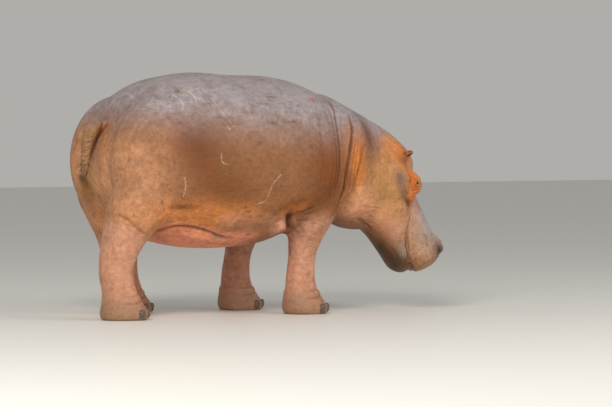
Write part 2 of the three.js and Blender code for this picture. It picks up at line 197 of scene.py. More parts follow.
def skull():
    """The upper head: a loft with the forehead's and the nose's line on top and the palate's below."""
    x = stations(-0.12, HEAD_LENGTH, 90)
    ends = rounded(x + 0.12, 0.09, 2) * rounded(HEAD_LENGTH - x, 0.075, 2.4)
    top = line(
        x, (-0.12, -0.07), (0, -0.004), (0.08, 0.03), (0.18, 0.056), (0.25, 0.053), (0.31, 0.018),
        (0.43, -0.034), (0.57, -0.05), (0.69, -0.066), (0.76, -0.066), (HEAD_LENGTH, -0.096),
    )
    bottom = line(
        x, (-0.12, -0.33), (0.1, -0.4), (0.3, -0.395), (0.43, -0.35), (0.56, -0.31), (HEAD_LENGTH, -0.3)
    )
    half = line(
        x, (-0.12, 0.185), (0.06, 0.235), (0.2, 0.24), (0.32, 0.208), (0.44, 0.172), (0.56, 0.168),
        (0.67, 0.205), (0.75, 0.226), (HEAD_LENGTH, 0.205),
    )
    middle = line(x, (-0.12, -0.2), (0.3, -0.215), (0.56, -0.215), (HEAD_LENGTH, -0.19))
    fullness = line(x, (0, 2.1), (0.45, 2.3), (0.7, 2.7))
    return sections_along(x, middle, half, top, bottom, fullness, ends)


def jaw():
    """The lower jaw: broad at its angle, flush with the upper head along the mouth, with a blunt chin."""
    x = stations(JAW_START, JAW_END, 60)
    ends = rounded(x - JAW_START, 0.16, 2) * rounded(JAW_END - x, 0.08, 2.3)
    bottom = line(
        x, (JAW_START, -0.41), (0.4, -0.438), (0.51, -0.414), (0.64, -0.402), (0.72, -0.398), (JAW_END, -0.38)
    )
    half = line(
        x, (JAW_START, 0.26), (0.3, 0.28), (0.42, 0.25), (0.52, 0.215), (0.64, 0.196), (0.74, 0.19),
        (JAW_END, 0.165),
    )
    top = line(
        x, (JAW_START, -0.16), (0.35, -0.09), (0.45, -0.07), (0.53, -0.1), (0.61, -0.16), (0.725, -0.225),
        (JAW_END, -0.26),
    )
    middle = line(x, (JAW_START, -0.28), (0.45, -0.265), (0.6, -0.285), (JAW_END, -0.315))
    return sections_along(x, middle, half, top, bottom, 2.4, ends)


head_forms = [put(skull(), HEAD), put(jaw(), HEAD)]
for side in SIDES.values():
    for middle, half in [
        ((0.352, side * 0.116, -0.032), (0.08, 0.068, 0.06)),  # eye socket
        ((0.16, side * 0.148, -0.02), (0.066, 0.058, 0.054)),  # root of the ear
        ((0.235, side * 0.175, -0.2), (0.2, 0.115, 0.185)),  # chewing muscle of the cheek
        ((0.33, side * 0.138, -0.096), (0.125, 0.07, 0.066)),  # cheek bone
        ((0.742, side * 0.082, -0.082), (0.07, 0.044, 0.032)),  # nostril
        ((0.735, side * 0.142, -0.215), (0.094, 0.096, 0.096)),  # pad of the upper lip, over the tusk
    ]:
        head_forms.append(put(ellipsoid(middle, half), HEAD))

# ---------------------------------------------------------------- legs and feet
# Four pillars in mid step, each on a broad foot with four toes that spread round the front. The upper leg is
# sunk into the trunk, and the foot widens where its four toes carry the weight.
STEP_ROOT = 0.96
HIND_LEGS = {"right": (0.258, -0.048), "left": (0.285, 0.27)}  # how far across, how far the foot is stepped
FORE_LEGS = {"right": (0.265, 0.01), "left": (0.285, -0.115)}
TOES = np.radians([-66, -23, 23, 66])
FOOT_HEIGHT = 0.1


def smoothstep(value, low, high):
    """0 below low, 1 above high, and 3t^2 - 2t^3 between them."""
    t = np.clip((value - low) / (high - low), 0, 1)
    return t * t * (3 - 2 * t)


def hind_shape(z):
    """Middle along the body, half length, half width and lean of a hind leg at each height."""
    along = line(
        z, (0, 0.128), (0.1, 0.118), (0.24, 0.082), (0.34, 0.086), (0.46, 0.124), (0.58, 0.178),
        (0.72, 0.24), (0.86, 0.29),
    )
    half_length = line(
        z, (0.1, 0.116), (0.15, 0.102), (0.24, 0.098), (0.34, 0.104), (0.46, 0.13), (0.58, 0.18),
        (0.72, 0.218), (0.86, 0.15),
    )
    half_width = line(
        z, (0.1, 0.108), (0.15, 0.096), (0.24, 0.094), (0.34, 0.106), (0.46, 0.13), (0.58, 0.156),
        (0.72, 0.168), (0.86, 0.12),
    )
    return along, half_length, half_width, 0.025


def fore_shape(z):
    """The same for a fore leg, which narrows to its wrist."""
    along = line(
        z, (0, 1.275), (0.1, 1.258), (0.2, 1.244), (0.34, 1.256), (0.48, 1.285), (0.6, 1.312), (0.8, 1.32)
    )
    half_length = line(
        z, (0.1, 0.112), (0.15, 0.094), (0.23, 0.084), (0.34, 0.08), (0.43, 0.096), (0.53, 0.124),
        (0.65, 0.145), (0.8, 0.11),
    )
    half_width = line(
        z, (0.1, 0.106), (0.15, 0.09), (0.23, 0.082), (0.34, 0.082), (0.44, 0.102), (0.54, 0.128),
        (0.65, 0.14), (0.8, 0.1),
    )
    return along, half_length, half_width, 0.06


def leg_at(z, shape, side, across, step):
    """A leg's middle and half sizes: the step moves the foot fully and the leg less towards its root."""
    along, half_length, half_width, lean = shape(z)
    x = along + step * smoothstep(STEP_ROOT - z, 0, 0.75 * STEP_ROOT)
    y = side * (across + lean * smoothstep(z, 0.35, 0.76))
    return x, y, half_length, half_width


def level_rings(x, y, z):
    """A closed loft down through level rings, given as the points round each and its height."""
    return closed_loft(np.stack([x, y, np.broadcast_to(z[:, None], x.shape)], -1)[:, ::-1])


def leg(top, *stance):
    """Level squared ovals from the root down to the ankle."""
    z = np.linspace(top, 0.08, 70)
    x, y, half_length, half_width = (v[:, None] for v in leg_at(z, *stance))
    angle = np.linspace(0, 2 * np.pi, 72, endpoint=False)[None, :]
    a, b = squared_oval(angle, half_length, half_width, half_width, 2.2)
    return level_rings(x + a, y + b, z)


def toe_lobes(angle):
    """1 at the middle of each toe and 0 between two toes, all round the foot."""
    turned = np.arctan2(np.sin(angle), np.cos(angle))
    return np.max([np.exp(-(((turned - toe) / math.radians(15)) ** 2)) for toe in TOES], axis=0)


def foot(*stance):
    """Ovals from the ankle to the sole that widen into toes, with a cleft between each two."""
    z = np.concatenate([np.linspace(0.135, 0.012, 34), 0.012 * np.cos(np.linspace(0.3, np.pi / 2, 6))])
    x = leg_at(z, *stance)[0][:, None]
    y, half_length, half_width = leg_at(FOOT_HEIGHT, *stance)[1:]
    size = line(
        z, (0, 1.03), (0.006, 1.09), (0.014, 1.13), (0.038, 1.15), (0.066, 1.1), (FOOT_HEIGHT, 1),
        (0.135, 0.93),
    )[:, None]
    share = line(z, (0, 0.8), (0.03, 1), (0.06, 0.75), (FOOT_HEIGHT, 0))[:, None]
    angle = np.linspace(0, 2 * np.pi, 160, endpoint=False)[None, :]
    a, b = squared_oval(angle, half_length * size, half_width * size, half_width * size, 2.2)
    bulge = 1 + 0.1 * share * (toe_lobes(angle) - 0.1)
    return level_rings(x + a * bulge, y + b * bulge, z)


legs = {}
for name, side in SIDES.items():
    legs[f"hind_{name}"] = (hind_shape, side, *HIND_LEGS[name])
    legs[f"fore_{name}"] = (fore_shape, side, *FORE_LEGS[name])
foot_forms = [foot(*stance) for stance in legs.values()]
for name, stance in legs.items():
    body_forms.append(leg(0.86 if name.startswith("hind") else 0.8, *stance))


# ---------------------------------------------------------------- tail
# Short and heavy: round at its root in the cleft of the rump, and narrower from front to back at its end.
# It is bone under the same wrinkled skin as the rump, and hangs straight down.
TAIL_ROOT, TAIL_END = 1.14, 0.818


def tail():
    """Level ovals down a line that curves back out of the rump, closed by rounded ends."""
    z = stations(TAIL_ROOT, TAIL_END, 44)
    end = rounded(z - TAIL_END, 0.04, 2) * rounded(TAIL_ROOT - z, 0.04, 2)
    x = line(z, (TAIL_END, -0.036), (0.9, -0.034), (1.0, -0.02), (1.08, 0.008), (TAIL_ROOT, 0.05))
    half_length = line(z, (TAIL_END, 0.018), (0.89, 0.022), (1.0, 0.03), (1.08, 0.042), (TAIL_ROOT, 0.052))
    half_width = line(z, (TAIL_END, 0.022), (0.85, 0.031), (0.96, 0.036), (1.06, 0.05), (TAIL_ROOT, 0.062))
    angle = np.linspace(0, 2 * np.pi, 40, endpoint=False)[None, :]
    x, half_length, half_width = x[:, None], (end * half_length)[:, None], (end * half_width)[:, None]
    a, b = squared_oval(angle, half_length, half_width, half_width, 2.1)
    return level_rings(x + a, b, z)


# ---------------------------------------------------------------- ears
# Small fleshy ears on thick roots behind the eyes, cupped forwards, with folds of skin round their roots.
# In an ear's own frame z runs from its root to its tip, x is out of the cup and y is across it.
EAR_LENGTH, EAR_ROOT = 0.086, (0.194, 0.156, -0.015)


def turning(x=0, y=0, z=0):
    """The rotation matrix for turns in degrees about x, then y, then z of the turned frame."""
    matrix = np.eye(3)
    for axis, angle in ((0, x), (1, y), (2, z)):
        c, s = math.cos(math.radians(angle)), math.sin(math.radians(angle))
        turn = np.eye(3)
        i, j = [(1, 2), (2, 0), (0, 1)][axis]
        turn[i, i], turn[j, j], turn[i, j], turn[j, i] = c, c, -s, s
        matrix = matrix @ turn
    return matrix


def ear_place(side):
    """An ear's root in the head's frame, and the matrix that turns its own frame into the head's."""
    return np.array(EAR_ROOT) * (1, side, 1), turning(-side * 16, -3, side * 28)


def ear_half_width(z):
    """Half of the ear's width from its root to its tip."""
    return line(
        z, (-0.02, 0.05), (0.008, 0.04), (0.024, 0.026), (0.048, 0.027), (0.068, 0.018), (EAR_LENGTH, 0.007)
    )


def ear(side):
    """Ovals up a thick paddle with a rounded tip. The cup is hollowed out once it is part of the hide."""
    z = stations(-0.02, EAR_LENGTH, 40)[:, None]
    angle = np.linspace(0, 2 * np.pi, 48, endpoint=False)[None, :]
    tip = rounded(EAR_LENGTH - z, 0.02, 2)
    thickness = line(z, (-0.02, 0.046), (0.008, 0.038), (0.024, 0.023), (0.05, 0.019), (EAR_LENGTH, 0.01))
    across, out = ear_half_width(z) * tip * np.sin(angle), thickness * tip * np.cos(angle) + 0.1 * z - 0.008
    rings = np.stack([out, across, np.broadcast_to(z, out.shape)], -1)[::-1, ::-1]
    vertices, faces = closed_loft(rings)
    root, turned = ear_place(side)
    return put((vertices @ turned.T + root, faces), HEAD)


# ---------------------------------------------------------------- hide
# One unbroken hide from muzzle to tail: thick, nearly bare skin that creases at the neck, groin and joints.
# The forms under it are joined and rounded into each other, then the skin is pressed in where it folds.
COARSE, FINE = 0.016, 0.0068
HIDE_TRIANGLES = 188_000
RIGHT_EYE = HEAD[0] + np.array((EYE[0], -EYE[1], EYE[2])) @ HEAD[1]
SHIFT = np.mean(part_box("eye_right"), axis=0) - RIGHT_EYE  # from the body's own frame to the shared one


def mesh_of(name, *shapes):
    """One mesh that holds several closed shapes."""
    start = np.cumsum([0] + [len(vertices) for vertices, _ in shapes])
    faces = [[v + s for v in face] for (_, part), s in zip(shapes, start) for face in part]
    mesh = bpy.data.meshes.new(name)
    mesh.from_pydata(np.vstack([vertices for vertices, _ in shapes]).tolist(), [], faces)
    mesh.update()
    return mesh


def finished(mesh, kind, plain=None, **settings):
    """The mesh as one modifier leaves it. The points of plain are the ones that it may thin out."""
    holder = bpy.data.objects.new("holder", mesh)
    bpy.context.scene.collection.objects.link(holder)
    modifier = holder.modifiers.new(kind, kind)
    if plain is not None:
        holder.vertex_groups.new(name="plain").add(np.flatnonzero(plain).tolist(), 1, "REPLACE")
        modifier.vertex_group = "plain"
    for name, value in settings.items():
        setattr(modifier, name, value)
    made = bpy.data.meshes.new_from_object(holder.evaluated_get(bpy.context.evaluated_depsgraph_get()))
    bpy.data.objects.remove(holder)
    return made


def read(mesh, what="co"):
    """The mesh's points, or the normals there, as an array."""
    values = np.empty(len(mesh.vertices) * 3, np.float32)
    mesh.vertices.foreach_get(what, values)
    return values.reshape(-1, 3).astype(float)


def write(mesh, points):
    """Moves the mesh's points."""
    mesh.vertices.foreach_set("co", points.astype(np.float32).ravel())
    mesh.update()


def ends_of_edges(mesh):
    """The numbers of the two points of each edge."""
    edges = np.empty(len(mesh.edges) * 2, np.int64)
    mesh.edges.foreach_get("vertices", edges)
    return edges.reshape(-1, 2)


def soften(mesh, passes, weight=1.0, keep_bulges=0.0):
    """Moves each point towards the mean of its neighbours; where that is inwards, less by keep_bulges."""
    a, b = ends_of_edges(mesh).T
    count = len(mesh.vertices)
    degree = (np.bincount(a, minlength=count) + np.bincount(b, minlength=count))[:, None]
    points = read(mesh)
    weight = np.broadcast_to(weight, count)[:, None]
    for step in range(passes):
        if step % 10 == 0:
            write(mesh, points)
            normals = read(mesh, "normal")
        sums = [np.bincount(a, points[b, k], count) + np.bincount(b, points[a, k], count) for k in range(3)]
        move = np.stack(sums, -1) / degree - points
        inwards = np.minimum((move * normals).sum(1), 0)[:, None] * normals
        points = points + 0.5 * weight * (move - keep_bulges * inwards)
    write(mesh, points)


def split_near(mesh, chosen):
    """Splits each face between chosen points into four, and rounds the new points."""
    before = len(mesh.vertices)
    both = chosen[ends_of_edges(mesh)].all(1)
    work = bmesh.new()
    work.from_mesh(mesh)
    work.edges.ensure_lookup_table()
    cut = [work.edges[i] for i in np.flatnonzero(both)]
    bmesh.ops.subdivide_edges(work, edges=cut, cuts=1, use_grid_fill=True)
    work.to_mesh(mesh)
    work.free()
    mesh.update()
    near = np.ones(len(mesh.vertices))
    near[:before] = chosen
    soften(mesh, 3, 0.7 * near, keep_bulges=0.4)


body = finished(mesh_of("body", *body_forms), "REMESH", mode="VOXEL", voxel_size=COARSE)
soften(body, 26, keep_bulges=0.85)
body_shape = (read(body), [list(face.vertices) for face in body.polygons])
ears = [ear(side) for side in SIDES.values()]
hide = mesh_of("hide", body_shape, *head_forms, *foot_forms, tail(), *ears)
hide = finished(hide, "REMESH", mode="VOXEL", voxel_size=FINE)


def in_head(points):
    """Points of the body's frame in the head's own frame."""
    return (points - HEAD[0]) @ HEAD[1].T


def on_right(points):
    """The points with those of the left side laid over on the right."""
    return points * (1, 0, 1) - np.abs(points) * (0, 1, 0)


def off_place(points, place):
    """How far points are from a place on the left of the head, or from its twin on the right."""
    return np.linalg.norm(on_right(in_head(points)) - np.array(place) * (1, -1, 1), axis=1)


def near_ears(points):
    """Which points are on an ear or its root."""
    return off_place(points, (0.2, 0.165, 0.03)) < 0.075


# The joined forms are smoothed into each other, the ears, feet, tail and face less than the rest.
points = read(hide)
face = smoothstep(in_head(points)[:, 0], -0.15, 0.1) * (points[:, 0] > 1.75)
slender = (points[:, 2] < 0.16) | ((points[:, 0] < 0.03) & (np.abs(points[:, 1]) < 0.08))
soften(hide, 14, np.select([near_ears(points), slender], [0.35, 0.3], 1 - 0.5 * face), keep_bulges=0.75)

# The face and the toes are split finer than the rest, and the eyes, ears and nostrils once more.
NOSTRIL = (0.765, 0.075, -0.06)
points = read(hide)
on_face = (in_head(points)[:, 0] > 0.08) & (points[:, 0] > 1.8)
split_near(hide, on_face | near_ears(points) | (points[:, 2] < 0.075))
points = read(hide)
split_near(hide, (off_place(points, EYE) < 0.055) | (off_place(points, NOSTRIL) < 0.06) | near_ears(points))


def in_ear(local, side):
    """Points of the head's frame in an ear's own frame: taken from its root, then turned back."""
    root, turned = ear_place(side)
    return (local - root) @ turned


def off_cup(own, height, wide, high):
    """How far points are from the middle of an ear's cup: 1 on an oval, wide in the ear's half widths."""
    return np.hypot(own[:, 1] / (wide * ear_half_width(own[:, 2])), (own[:, 2] - height) / high)


def cupped(points, side):
    """Hollows an ear out from its front, deepest at the middle of an oval and nothing at its rim."""
    own = in_ear(in_head(points), side)
    off = off_cup(own, 0.052, 0.74, 0.028)
    front = smoothstep(own[:, 0] - 0.1 * own[:, 2] + 0.008, 0.002, 0.009)
    front *= np.linalg.norm(own, axis=1) < 0.13
    own[:, 0] -= 0.023 * front * np.clip(1 - off**2, 0, 1) ** 0.6
    own[:, 0] += 0.003 * front * np.exp(-(((off - 1.15) / 0.16) ** 2))
    root, turned = ear_place(side)
    return HEAD[0] + (own @ turned.T + root) @ HEAD[1]


for side in SIDES.values():
    write(hide, cupped(read(hide), side))


def path(*points, step=0.004):
    """A smooth path through a few points: each coordinate is a line() of the way along it."""
    points = np.array(points, float)
    along = np.r_[0, np.cumsum(np.linalg.norm(np.diff(points, axis=0), axis=1))]
    at = np.linspace(0, along[-1], max(int(along[-1] / step), 12))
    return np.stack([line(at, *zip(along, points[:, k])) for k in range(3)], -1)


def near_path(points, way, reach):
    """Which points are in the box of a path, widened by a reach."""
    return np.flatnonzero(((points > way.min(0) - reach) & (points < way.max(0) + reach)).all(1))


def on_skin(points, way):
    """The path laid on the skin: each of its points goes to the nearest one there, then is evened out."""
    near = points[near_path(points, way, 0.12)]
    laid = near[[((near - p) ** 2).sum(1).argmin() for p in way]]
    weights = np.array([1, 2, 3, 4, 3, 2, 1]) / 16
    padded = np.pad(laid, ((3, 3), (0, 0)), mode="edge")
    return np.stack([np.convolve(padded[:, k], weights, "valid") for k in range(3)], -1)


def beside(points, way, width, open_ends=False):
    """The points near a path laid on the skin, how many widths off it they are, and its strength there,
    which fades at its ends or, with open ends, is 1."""
    way = on_skin(points, way)
    chosen = near_path(points, way, 4 * width)
    off, at = np.empty(len(chosen)), np.empty(len(chosen))
    for start in range(0, len(chosen), 4000):
        part = slice(start, start + 4000)
        square = ((points[chosen[part], None] - way) ** 2).sum(-1)
        off[part] = np.sqrt(square.min(1))
        at[part] = square.argmin(1) / (len(way) - 1)
    strength = 1.0 if open_ends else smoothstep(at, 0, 0.22) * smoothstep(1 - at, 0, 0.22)
    return chosen, off / width, strength


def within(points, way, width, reach=1.0):
    """Which points are less than so many widths from a path laid on the skin."""
    chosen, off, _ = beside(points, way, width, open_ends=True)
    near = np.zeros(len(points), bool)
    near[chosen[off < reach]] = True
    return near


folds = []  # each is a width, a depth and a path; a depth below zero is a roll of skin that stands out


def fold(width, depth, *points, head=False):
    """Adds a fold through points on the right side of the body or of the head, and its twin on the left."""
    for flip in (1, -1):
        ends = np.array(points, float) * (1, flip, 1)
        folds.append((width, depth, path(*(HEAD[0] + ends @ HEAD[1] if head else ends))))


# Behind the neck: a crease down the shoulder with finer ones beside it, then a roll with a deep crease.
SHOULDER = np.array([
    (1.4, -0.14, 1.33), (1.44, -0.28, 1.241), (1.422, -0.4, 1.12), (1.41, -0.44, 1.0), (1.405, -0.45, 0.88),
    (1.38, -0.459, 0.761), (1.357, -0.443, 0.643),
])
fold(0.009, 0.009, *SHOULDER)
fold(0.05, -0.014, *(SHOULDER - (0.075, 0, 0)))
for back, depth in [(0.05, 0.003), (0.09, 0.002), (0.16, 0.002)]:
    fold(0.008, depth, *(SHOULDER[1:] - (back, 0, 0.08 * back)))
NECK_CREASE = np.array([
    (1.56, -0.3, 1.2), (1.534, -0.391, 1.082), (1.491, -0.438, 0.965), (1.464, -0.448, 0.848),
    (1.455, -0.418, 0.73), (1.418, -0.411, 0.642), (1.367, -0.427, 0.584),
])
fold(0.01, 0.013, *NECK_CREASE)
for ahead, depth in [(0.026, 0.005), (0.05, 0.004), (0.078, 0.003)]:
    fold(0.006, depth, *(NECK_CREASE[1:6] + (ahead, 0.2 * ahead, 0)))
fold(
    0.03, -0.012, (1.58, -0.4, 1.06), (1.53, -0.44, 0.93), (1.5, -0.44, 0.82), (1.485, -0.41, 0.71),
    (1.45, -0.38, 0.62),
)
fold(
    0.01, 0.006, (1.613, -0.398, 1.023), (1.58, -0.429, 0.935), (1.539, -0.439, 0.817),
    (1.511, -0.406, 0.699),
)
fold(0.01, 0.003, (1.62, -0.28, 1.2), (1.66, -0.36, 1.08), (1.66, -0.39, 0.95))

# Groin and rump: where the lower leg leaves the thigh, the hollow of the flank, and the fold under the belly.
fold(
    0.01, 0.005, (-0.024, -0.292, 0.589), (-0.003, -0.35, 0.604), (0.037, -0.395, 0.576),
    (0.093, -0.411, 0.525), (0.19, -0.4, 0.46),
)
fold(0.05, 0.012, (0.22, -0.44, 0.8), (0.29, -0.44, 0.7), (0.38, -0.43, 0.62))
fold(
    0.013, 0.009, (0.343, -0.116, 0.477), (0.336, -0.25, 0.515), (0.373, -0.325, 0.534),
    (0.461, -0.368, 0.53), (0.563, -0.373, 0.506), (0.676, -0.35, 0.474), (0.803, -0.338, 0.457),
)
fold(0.035, -0.014, (0.42, -0.28, 0.48), (0.5, -0.31, 0.475), (0.62, -0.31, 0.45), (0.74, -0.3, 0.44))

# Armpit and foreleg: skin that bunches between the chest and the arm, and faint wrinkles across the arm.
fold(0.016, 0.02, (1.02, -0.5, 0.61), (1.045, -0.475, 0.585), (1.074, -0.426, 0.548), (1.157, -0.287, 0.502))
fold(0.01, 0.007, (1.042, -0.47, 0.579), (1.1, -0.476, 0.6), (1.179, -0.456, 0.617), (1.25, -0.463, 0.65))
fold(
    0.022, 0.007, (0.93, -0.46, 0.55), (0.961, -0.503, 0.599), (1.0, -0.509, 0.625), (1.067, -0.513, 0.655),
    (1.18, -0.488, 0.665),
)
fold(0.022, -0.014, (0.97, -0.45, 0.56), (1.01, -0.43, 0.535), (1.05, -0.39, 0.51))
fold(0.016, -0.007, (1.05, -0.46, 0.62), (1.12, -0.47, 0.635), (1.19, -0.47, 0.65))
fold(0.008, 0.002, (1.108, -0.46, 0.595), (1.207, -0.421, 0.598), (1.282, -0.443, 0.612))
fold(0.008, 0.0018, (1.107, -0.417, 0.553), (1.208, -0.384, 0.559), (1.272, -0.425, 0.568))

# Rings of skin round the ankles and above the toes, one after the other down each leg.
for stance in legs.values():
    for height, depth in [(0.105, 0.004), (0.145, 0.003), (0.2, 0.0018), (0.36, 0.0016)]:
        x, y, half_length, half_width = leg_at(height, *stance)
        turn = np.linspace(-2.4, 2.4, 12)
        ring = np.stack([x + half_length * np.cos(turn), y + half_width * np.sin(turn)], -1)
        folds.append((0.006, depth, path(*np.column_stack([ring, height + 0.012 * np.cos(2 * turn)]))))

# Tail: a crease in the rump, from the right of the tail's root down to its left, and wrinkles across it.
TAIL_CREASE = path(
    (0.08, -0.06, 1.12), (0.07, -0.039, 1.09), (0.056, 0.008, 1.038), (0.047, 0.04, 0.986),
    (0.044, 0.08, 0.93),
)
folds.append((0.006, 0.006, TAIL_CREASE))
for number, height in enumerate(np.arange(0.84, 1.09, 0.017)):
    x = line(height, (TAIL_END, -0.036), (0.9, -0.034), (1.0, -0.02), (1.08, 0.008))
    slope = 0.012 * math.sin(2.4 * number)
    right, left = (x + 0.02, -0.06, height - slope), (x + 0.02, 0.06, height + slope)
    folds.append((0.0042, 0.006, path(right, (x - 0.045, 0, height - 0.008), left)))

# Mouth: one line from the corner under the left eye, round the front of the lips, to the corner on the right.
LEFT_LIP = [
    (0.438, 0.17, -0.112), (0.49, 0.16, -0.128), (0.53, 0.165, -0.147), (0.57, 0.18, -0.184),
    (0.612, 0.19, -0.222), (0.66, 0.2, -0.25), (0.725, 0.22, -0.28), (0.8, 0.19, -0.3),
]
lips = np.array([*LEFT_LIP, (0.86, 0, -0.3), *[(a, -b, c) for a, b, c in LEFT_LIP[::-1]]])
MOUTH = path(*(HEAD[0] + lips @ HEAD[1]))
folds.append((0.0075, 0.0135, MOUTH))
fold(0.012, 0.005, (0.4, -0.19, -0.135), (0.44, -0.17, -0.112), (0.48, -0.16, -0.125), head=True)
fold(0.012, -0.003, (0.4, -0.16, -0.05), (0.45, -0.155, -0.08), (0.52, -0.15, -0.1), head=True)
fold(0.02, -0.006, (0.5, -0.18, -0.17), (0.56, -0.19, -0.215), (0.62, -0.2, -0.26), head=True)

# Ear roots: rings of skin behind and under each ear.
for radius, depth in [(0.042, 0.006), (0.056, 0.005), (0.072, 0.004), (0.09, 0.003)]:
    turn = np.linspace(1.7, 5.0, 10)
    ring = radius * np.stack([np.cos(turn), -0.7 * np.sin(turn), 0.7 * np.sin(turn)], -1)
    fold(0.005, depth, *(np.array(EAR_ROOT) * (1, -1, 1) + ring + (-0.005, 0, 0.005)), head=True)

# Eyes: two rings of skin round each socket, behind and under it.
for radius, depth in [(0.034, 0.004), (0.049, 0.005)]:
    turn = np.linspace(0.9, 5.2, 12)
    ring = np.array(EYE) * (1, -1, 1) + radius * np.stack([-np.sin(turn), 0 * turn, np.cos(turn)], -1)
    fold(0.0046, depth, *(ring * (1, 1.05, 1)), head=True)

# Face: folds over and under the eyes, at the cheek, the jaw and the chin, and beside the nostrils.
for width, depth, *points in [
    (0.006, 0.004, (0.31, -0.15, 0.02), (0.36, -0.14, 0.035), (0.41, -0.145, 0.012)),
    (0.006, 0.003, (0.32, -0.19, -0.055), (0.36, -0.195, -0.07), (0.4, -0.185, -0.065)),
    (0.006, 0.003, (0.3, -0.22, -0.085), (0.36, -0.22, -0.1), (0.41, -0.2, -0.09)),
    (0.005, 0.003, (0.33, -0.31, -0.34), (0.343, -0.312, -0.331), (0.36, -0.289, -0.308),
     (0.39, -0.25, -0.28)),
    (0.007, 0.003, (0.355, -0.32, -0.38), (0.4, -0.29, -0.36), (0.44, -0.25, -0.35)),
    (0.007, 0.003, (0.385, -0.26, -0.41), (0.43, -0.24, -0.38), (0.46, -0.22, -0.36)),
    (0.012, 0.006, (0.36, -0.3, -0.43), (0.4, -0.27, -0.425), (0.45, -0.2, -0.41), (0.49, -0.16, -0.4)),
    (0.008, 0.003, (0.6, -0.2, -0.36), (0.66, -0.2, -0.34), (0.74, -0.19, -0.345)),
    (0.01, 0.004, (0.655, -0.17, -0.108), (0.69, -0.193, -0.13), (0.735, -0.21, -0.155)),
    (0.009, 0.02, (0.74, -0.098, -0.05), (0.768, -0.082, -0.055), (0.79, -0.06, -0.075)),
    (0.012, 0.003, (0.6, -0.04, -0.05), (0.68, -0.02, -0.06), (0.78, -0.012, -0.07)),
]:
    fold(width, depth, *points, head=True)

# Old scratches and bite marks, pale lines where the hide healed thicker, the longest of them in a groove.
SCARS = [path(*scar) for scar in [
    [(0.229, 0.001, 1.299), (0.221, -0.075, 1.287), (0.207, -0.163, 1.258)],
    [(0.443, -0.294, 1.315), (0.473, -0.335, 1.292), (0.507, -0.391, 1.257)],
    [(0.406, -0.338, 1.275), (0.484, -0.315, 1.309), (0.545, -0.312, 1.321)],
    [(0.47, -0.3, 1.31), (0.485, -0.36, 1.27), (0.48, -0.4, 1.24)],
    [(0.37, -0.3, 1.29), (0.4, -0.38, 1.24), (0.385, -0.41, 1.21)],
    [(0.523, -0.316, 1.315), (0.545, -0.382, 1.269), (0.574, -0.425, 1.223), (0.599, -0.475, 1.154),
     (0.638, -0.51, 1.085)],
    [(0.56, -0.31, 1.31), (0.58, -0.38, 1.26), (0.62, -0.45, 1.18), (0.665, -0.5, 1.1)],
    [(0.781, -0.445, 1.212), (0.79, -0.46, 1.19), (0.783, -0.476, 1.165)],
    [(0.565, -0.534, 0.954), (0.569, -0.539, 0.903), (0.61, -0.547, 0.885)],
    [(0.948, -0.56, 0.831), (0.885, -0.564, 0.768), (0.868, -0.559, 0.722), (0.841, -0.548, 0.676),
     (0.792, -0.541, 0.66)],
    [(0.36, -0.45, 0.82), (0.37, -0.46, 0.77), (0.36, -0.46, 0.71)],
]]
folds.extend([(0.011, 0.0035, SCARS[5]), (0.008, 0.002, SCARS[6]), (0.007, 0.002, SCARS[9])])


def pressed(points):
    """How far each point moves outwards: in by a fold's depth, and out in a low ridge on both its sides."""
    move = np.zeros(len(points))
    for width, depth, way in folds:
        chosen, off, strength = beside(points, way, width)
        profile = np.exp(-(off**2)) - 0.26 * np.exp(-(((off - 2) / 0.8) ** 2)) * (depth > 0)
        move[chosen] -= depth * strength * profile
    return move


write(hide, read(hide) + pressed(read(hide))[:, None] * read(hide, "normal"))

# Eyelids: an almond opening over each eyeball with a thick rim, and rings of skin round it.
LID_OPEN = np.sin(np.radians((39, 25)))  # half of its length along the head and half of its height, as sines


def eye_axes(side):
    """Unit axes of an eye in the head's frame: along its opening, over it, and out along its gaze."""
    gaze = turning(z=4) @ np.array((0.1, 1, 0.16))
    gaze = gaze / np.linalg.norm(gaze) * (1, side, 1)
    along = np.array((1, 0, 0)) - gaze[0] * gaze
    along /= np.linalg.norm(along)
    return along, np.cross(gaze, along), gaze


def lidded(points, side):
    """Near an eye, the distance from its middle: inside the opening less than its radius, at the rim a thick
    edge, then the face's own. The place in the opening is 0 at its middle and 1 at the rim."""
    local = in_head(points)
    centre = np.array(EYE) * (1, side, 1)
    chosen = np.flatnonzero(np.linalg.norm(local - centre, axis=1) < 0.075)
    away = local[chosen] - centre
    distance = np.linalg.norm(away, axis=1)
    direction = away / distance[:, None]
    along, over, gaze = eye_axes(side)
    place = np.hypot(direction @ along / LID_OPEN[0], direction @ over / LID_OPEN[1])
    place = np.where(direction @ gaze > 0.05, place, 9)
    edge = EYE_RADIUS + 0.0045 - 0.008 * (1 - smoothstep(place, 0.86, 1.06))
    rings = np.exp(-(((place - 1.55) / 0.13) ** 2)) + 0.8 * np.exp(-(((place - 2.1) / 0.16) ** 2))
    blend = smoothstep(place, 1.15, 2.0)
    outside = np.maximum(distance, EYE_RADIUS + 0.004)
    wanted = edge * (1 - blend) + outside * blend - 0.0022 * rings * (place < 3)
    local[chosen] = centre + direction * wanted[:, None]
    return HEAD[0] + local @ HEAD[1]


for side in SIDES.values():
    write(hide, lidded(read(hide), side))

# The skin at the scars is split, so that they stay narrow. Then the plain parts of the hide are thinned out.
points = read(hide)
split_near(hide, np.any([within(points, way, 0.012) for way in SCARS], axis=0))


def fine_places(points):
    """Where the mesh stays as fine as it is: the eyes, ears, lips and scars."""
    lines = [within(points, MOUTH, 0.008, 1.2), *[within(points, way, 0.01, 1.2) for way in SCARS]]
    return (off_place(points, EYE) < 0.05) | near_ears(points) | np.any(lines, axis=0)


share = HIDE_TRIANGLES / (2 * len(hide.polygons))
plain = ~fine_places(read(hide))
hide = finished(hide, "DECIMATE", plain, ratio=share, use_collapse_triangulate=True)


